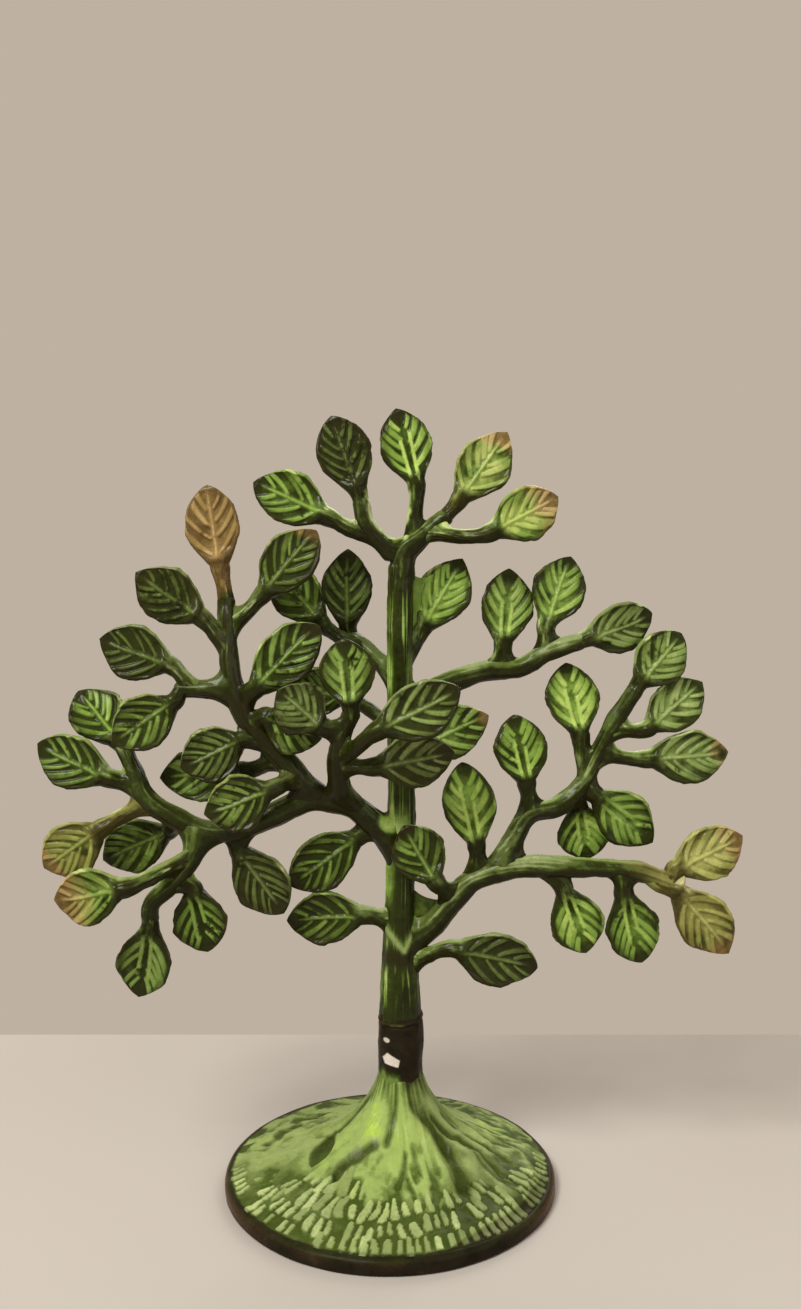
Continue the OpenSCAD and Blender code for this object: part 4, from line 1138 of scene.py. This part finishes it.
# the edge rolls over into the slab's dark rim
roll_down = ramp(RIM_REACH - 7, RIM_REACH, edge_r)
top_z = np.maximum(base_z + detail, RIM_H + 0.15)
top_z = mix(top_z, RIM_H + 0.12 + 0.55 * dash, roll_down)
sink = ramp(RIM_REACH - 0.5, RIM_REACH + 0.3, edge_r)
top_z = mix(top_z, RIM_H - 0.8, sink) + 0.16 * grit * (1 - sink)
top_z = np.where(r < COLLAR_R - 0.2, base_z + 0.5, top_z)
rings = np.stack([x, y, top_z], -1)
right_front = ramp(-75, -55, edge_deg) * ramp(0, -25, edge_deg)
margin = RIM_REACH - 0.9 - 3.4 * right_front + 0.7 * grit
neck_noise = rough(np.stack([x * 0.3, y * 0.3, top_z * 0.2], -1), 73)
neck_dark = 0.9 * ramp(-2.6, 2.6, top_z - glaze_foot(phi, x) + 1.2 * neck_noise)
rim_dark = np.clip(ramp(-0.5, 0.5, edge_r - margin) * (1 - 0.45 * dash) + neck_dark, 0, 1)
grey = np.clip(grey, 0, 0.75)
mound_part = with_masks(skin(rings), paint=paint, grey=grey, worn=0 * paint, rim=rim_dark)
new_piece("root_mound", [mound_part], MOSS_PAINT, CLAY_MASKS)

# ---- slab
outline = [[2, 0.0], [SLAB_R - 2.2, 0.0]]
for turn in np.radians(np.linspace(-90, 0, 7))[1:]:
    outline.append([SLAB_R - 1 + math.cos(turn), 1 + math.sin(turn)])
for turn in np.radians(np.linspace(0, 90, 14)):
    outline.append([SLAB_R - 2.1 + 2.1 * math.cos(turn), RIM_H - 2.1 + 2.1 * math.sin(turn)])
outline += [[SLAB_R - 3.4, RIM_H - 0.1], [SLAB_R - 5, RIM_H - 0.6], [SLAB_R - 9, RIM_H - 2]]
outline = np.array(outline)
angle = circle(480) + 0 * outline[:, :1]
rr, zz = outline[:, :1] + 0 * angle, outline[:, 1:] + 0 * angle
wobble = rough(around(angle, 3, zz * 0.25), 67)
is_side = ramp(SLAB_R - 6, SLAB_R - 1, rr)
rr = rr + (0.28 * wobble - 0.25) * is_side
zz = zz + 0.20 * wobble * is_side * ramp(1.5, 4, zz)
rings = np.stack([rr * np.cos(angle) - TRUNK_X, rr * np.sin(angle), np.maximum(zz, 0)], -1)
right_rear = ramp(0.0, 0.8, 0.75 * np.cos(angle) + 0.6 * np.sin(angle))
# painted reflection: reddish brown on the left side of the edge, drawn with the rubbed colour; the right
# rear is rubbed wear
left_reflection = ramp(0.55, 1.0, -np.cos(angle))
edge = ramp(SLAB_R - 1.8, SLAB_R - 0.4, rr)
worn = (0.65 * right_rear + 0.35 * left_reflection + 0.12 * ramp(0.2, 0.8, wobble)) * edge
tint = 0.14 * ramp(0.0, 0.7, wobble + 0.4) * ramp(RIM_H - 1.8, RIM_H - 0.6, zz)
plinth_part = with_masks(skin(rings), paint=tint, worn=worn, chip=0 * rr)
new_piece("base_plinth", [plinth_part], GLAZE, GLAZE_MASKS)

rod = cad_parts["trunk_rod"]
rod.data.materials.clear()
rod.data.materials.append(STEEL)

# ---- floor, light and camera
# All in metres
FLOOR_W, FLOOR_REAR = 6.0, 0.146
LIGHT_TARGET = Vector((0, 0, 0.17))
LIGHTS = [
    ["key", (-0.50, -0.62, 0.95), 0.45, 12, (1.0, 0.97, 0.90)],
    ["fill", (0.85, -0.75, 0.50), 0.8, 2.2, (1.0, 0.97, 0.94)],
    ["back", (0.30, 0.80, 0.75), 0.7, 3.5, (1.0, 0.98, 0.95)],
]

bpy.ops.mesh.primitive_plane_add(size=FLOOR_W, location=(0, FLOOR_REAR - FLOOR_W / 2, 0))
floor = bpy.context.object
floor.name = "floor"
floor.data.materials.append(paper("floor_paper"))

for name, place, size, power, color in LIGHTS:
    data = bpy.data.lights.new(name, "AREA")
    data.shape = "DISK"
    data.size, data.energy, data.color = size, power, color
    light = bpy.data.objects.new(name, data)
    light.location = place
    light.rotation_euler = (LIGHT_TARGET - Vector(place)).to_track_quat("-Z", "Y").to_euler()
    bpy.context.scene.collection.objects.link(light)

world = bpy.data.worlds.new("studio")
bpy.context.scene.world = world
world.use_nodes = True
backdrop = world.node_tree.nodes["Background"]
backdrop.inputs["Color"].default_value = (0.515, 0.440, 0.360, 1)
backdrop.inputs["Strength"].default_value = 1.0
bpy.context.scene.view_settings.view_transform = "Standard"

camera_data = bpy.data.cameras.new("camera")
camera_data.lens = 27.6
camera_data.sensor_width = 36
camera_data.clip_start = 0.01
camera = bpy.data.objects.new("camera", camera_data)
camera.location = (TRUNK_X * MM, -0.390, 0.203)
camera.rotation_euler = (math.pi / 2, 0, 0)
bpy.context.scene.collection.objects.link(camera)
bpy.context.scene.camera = camera
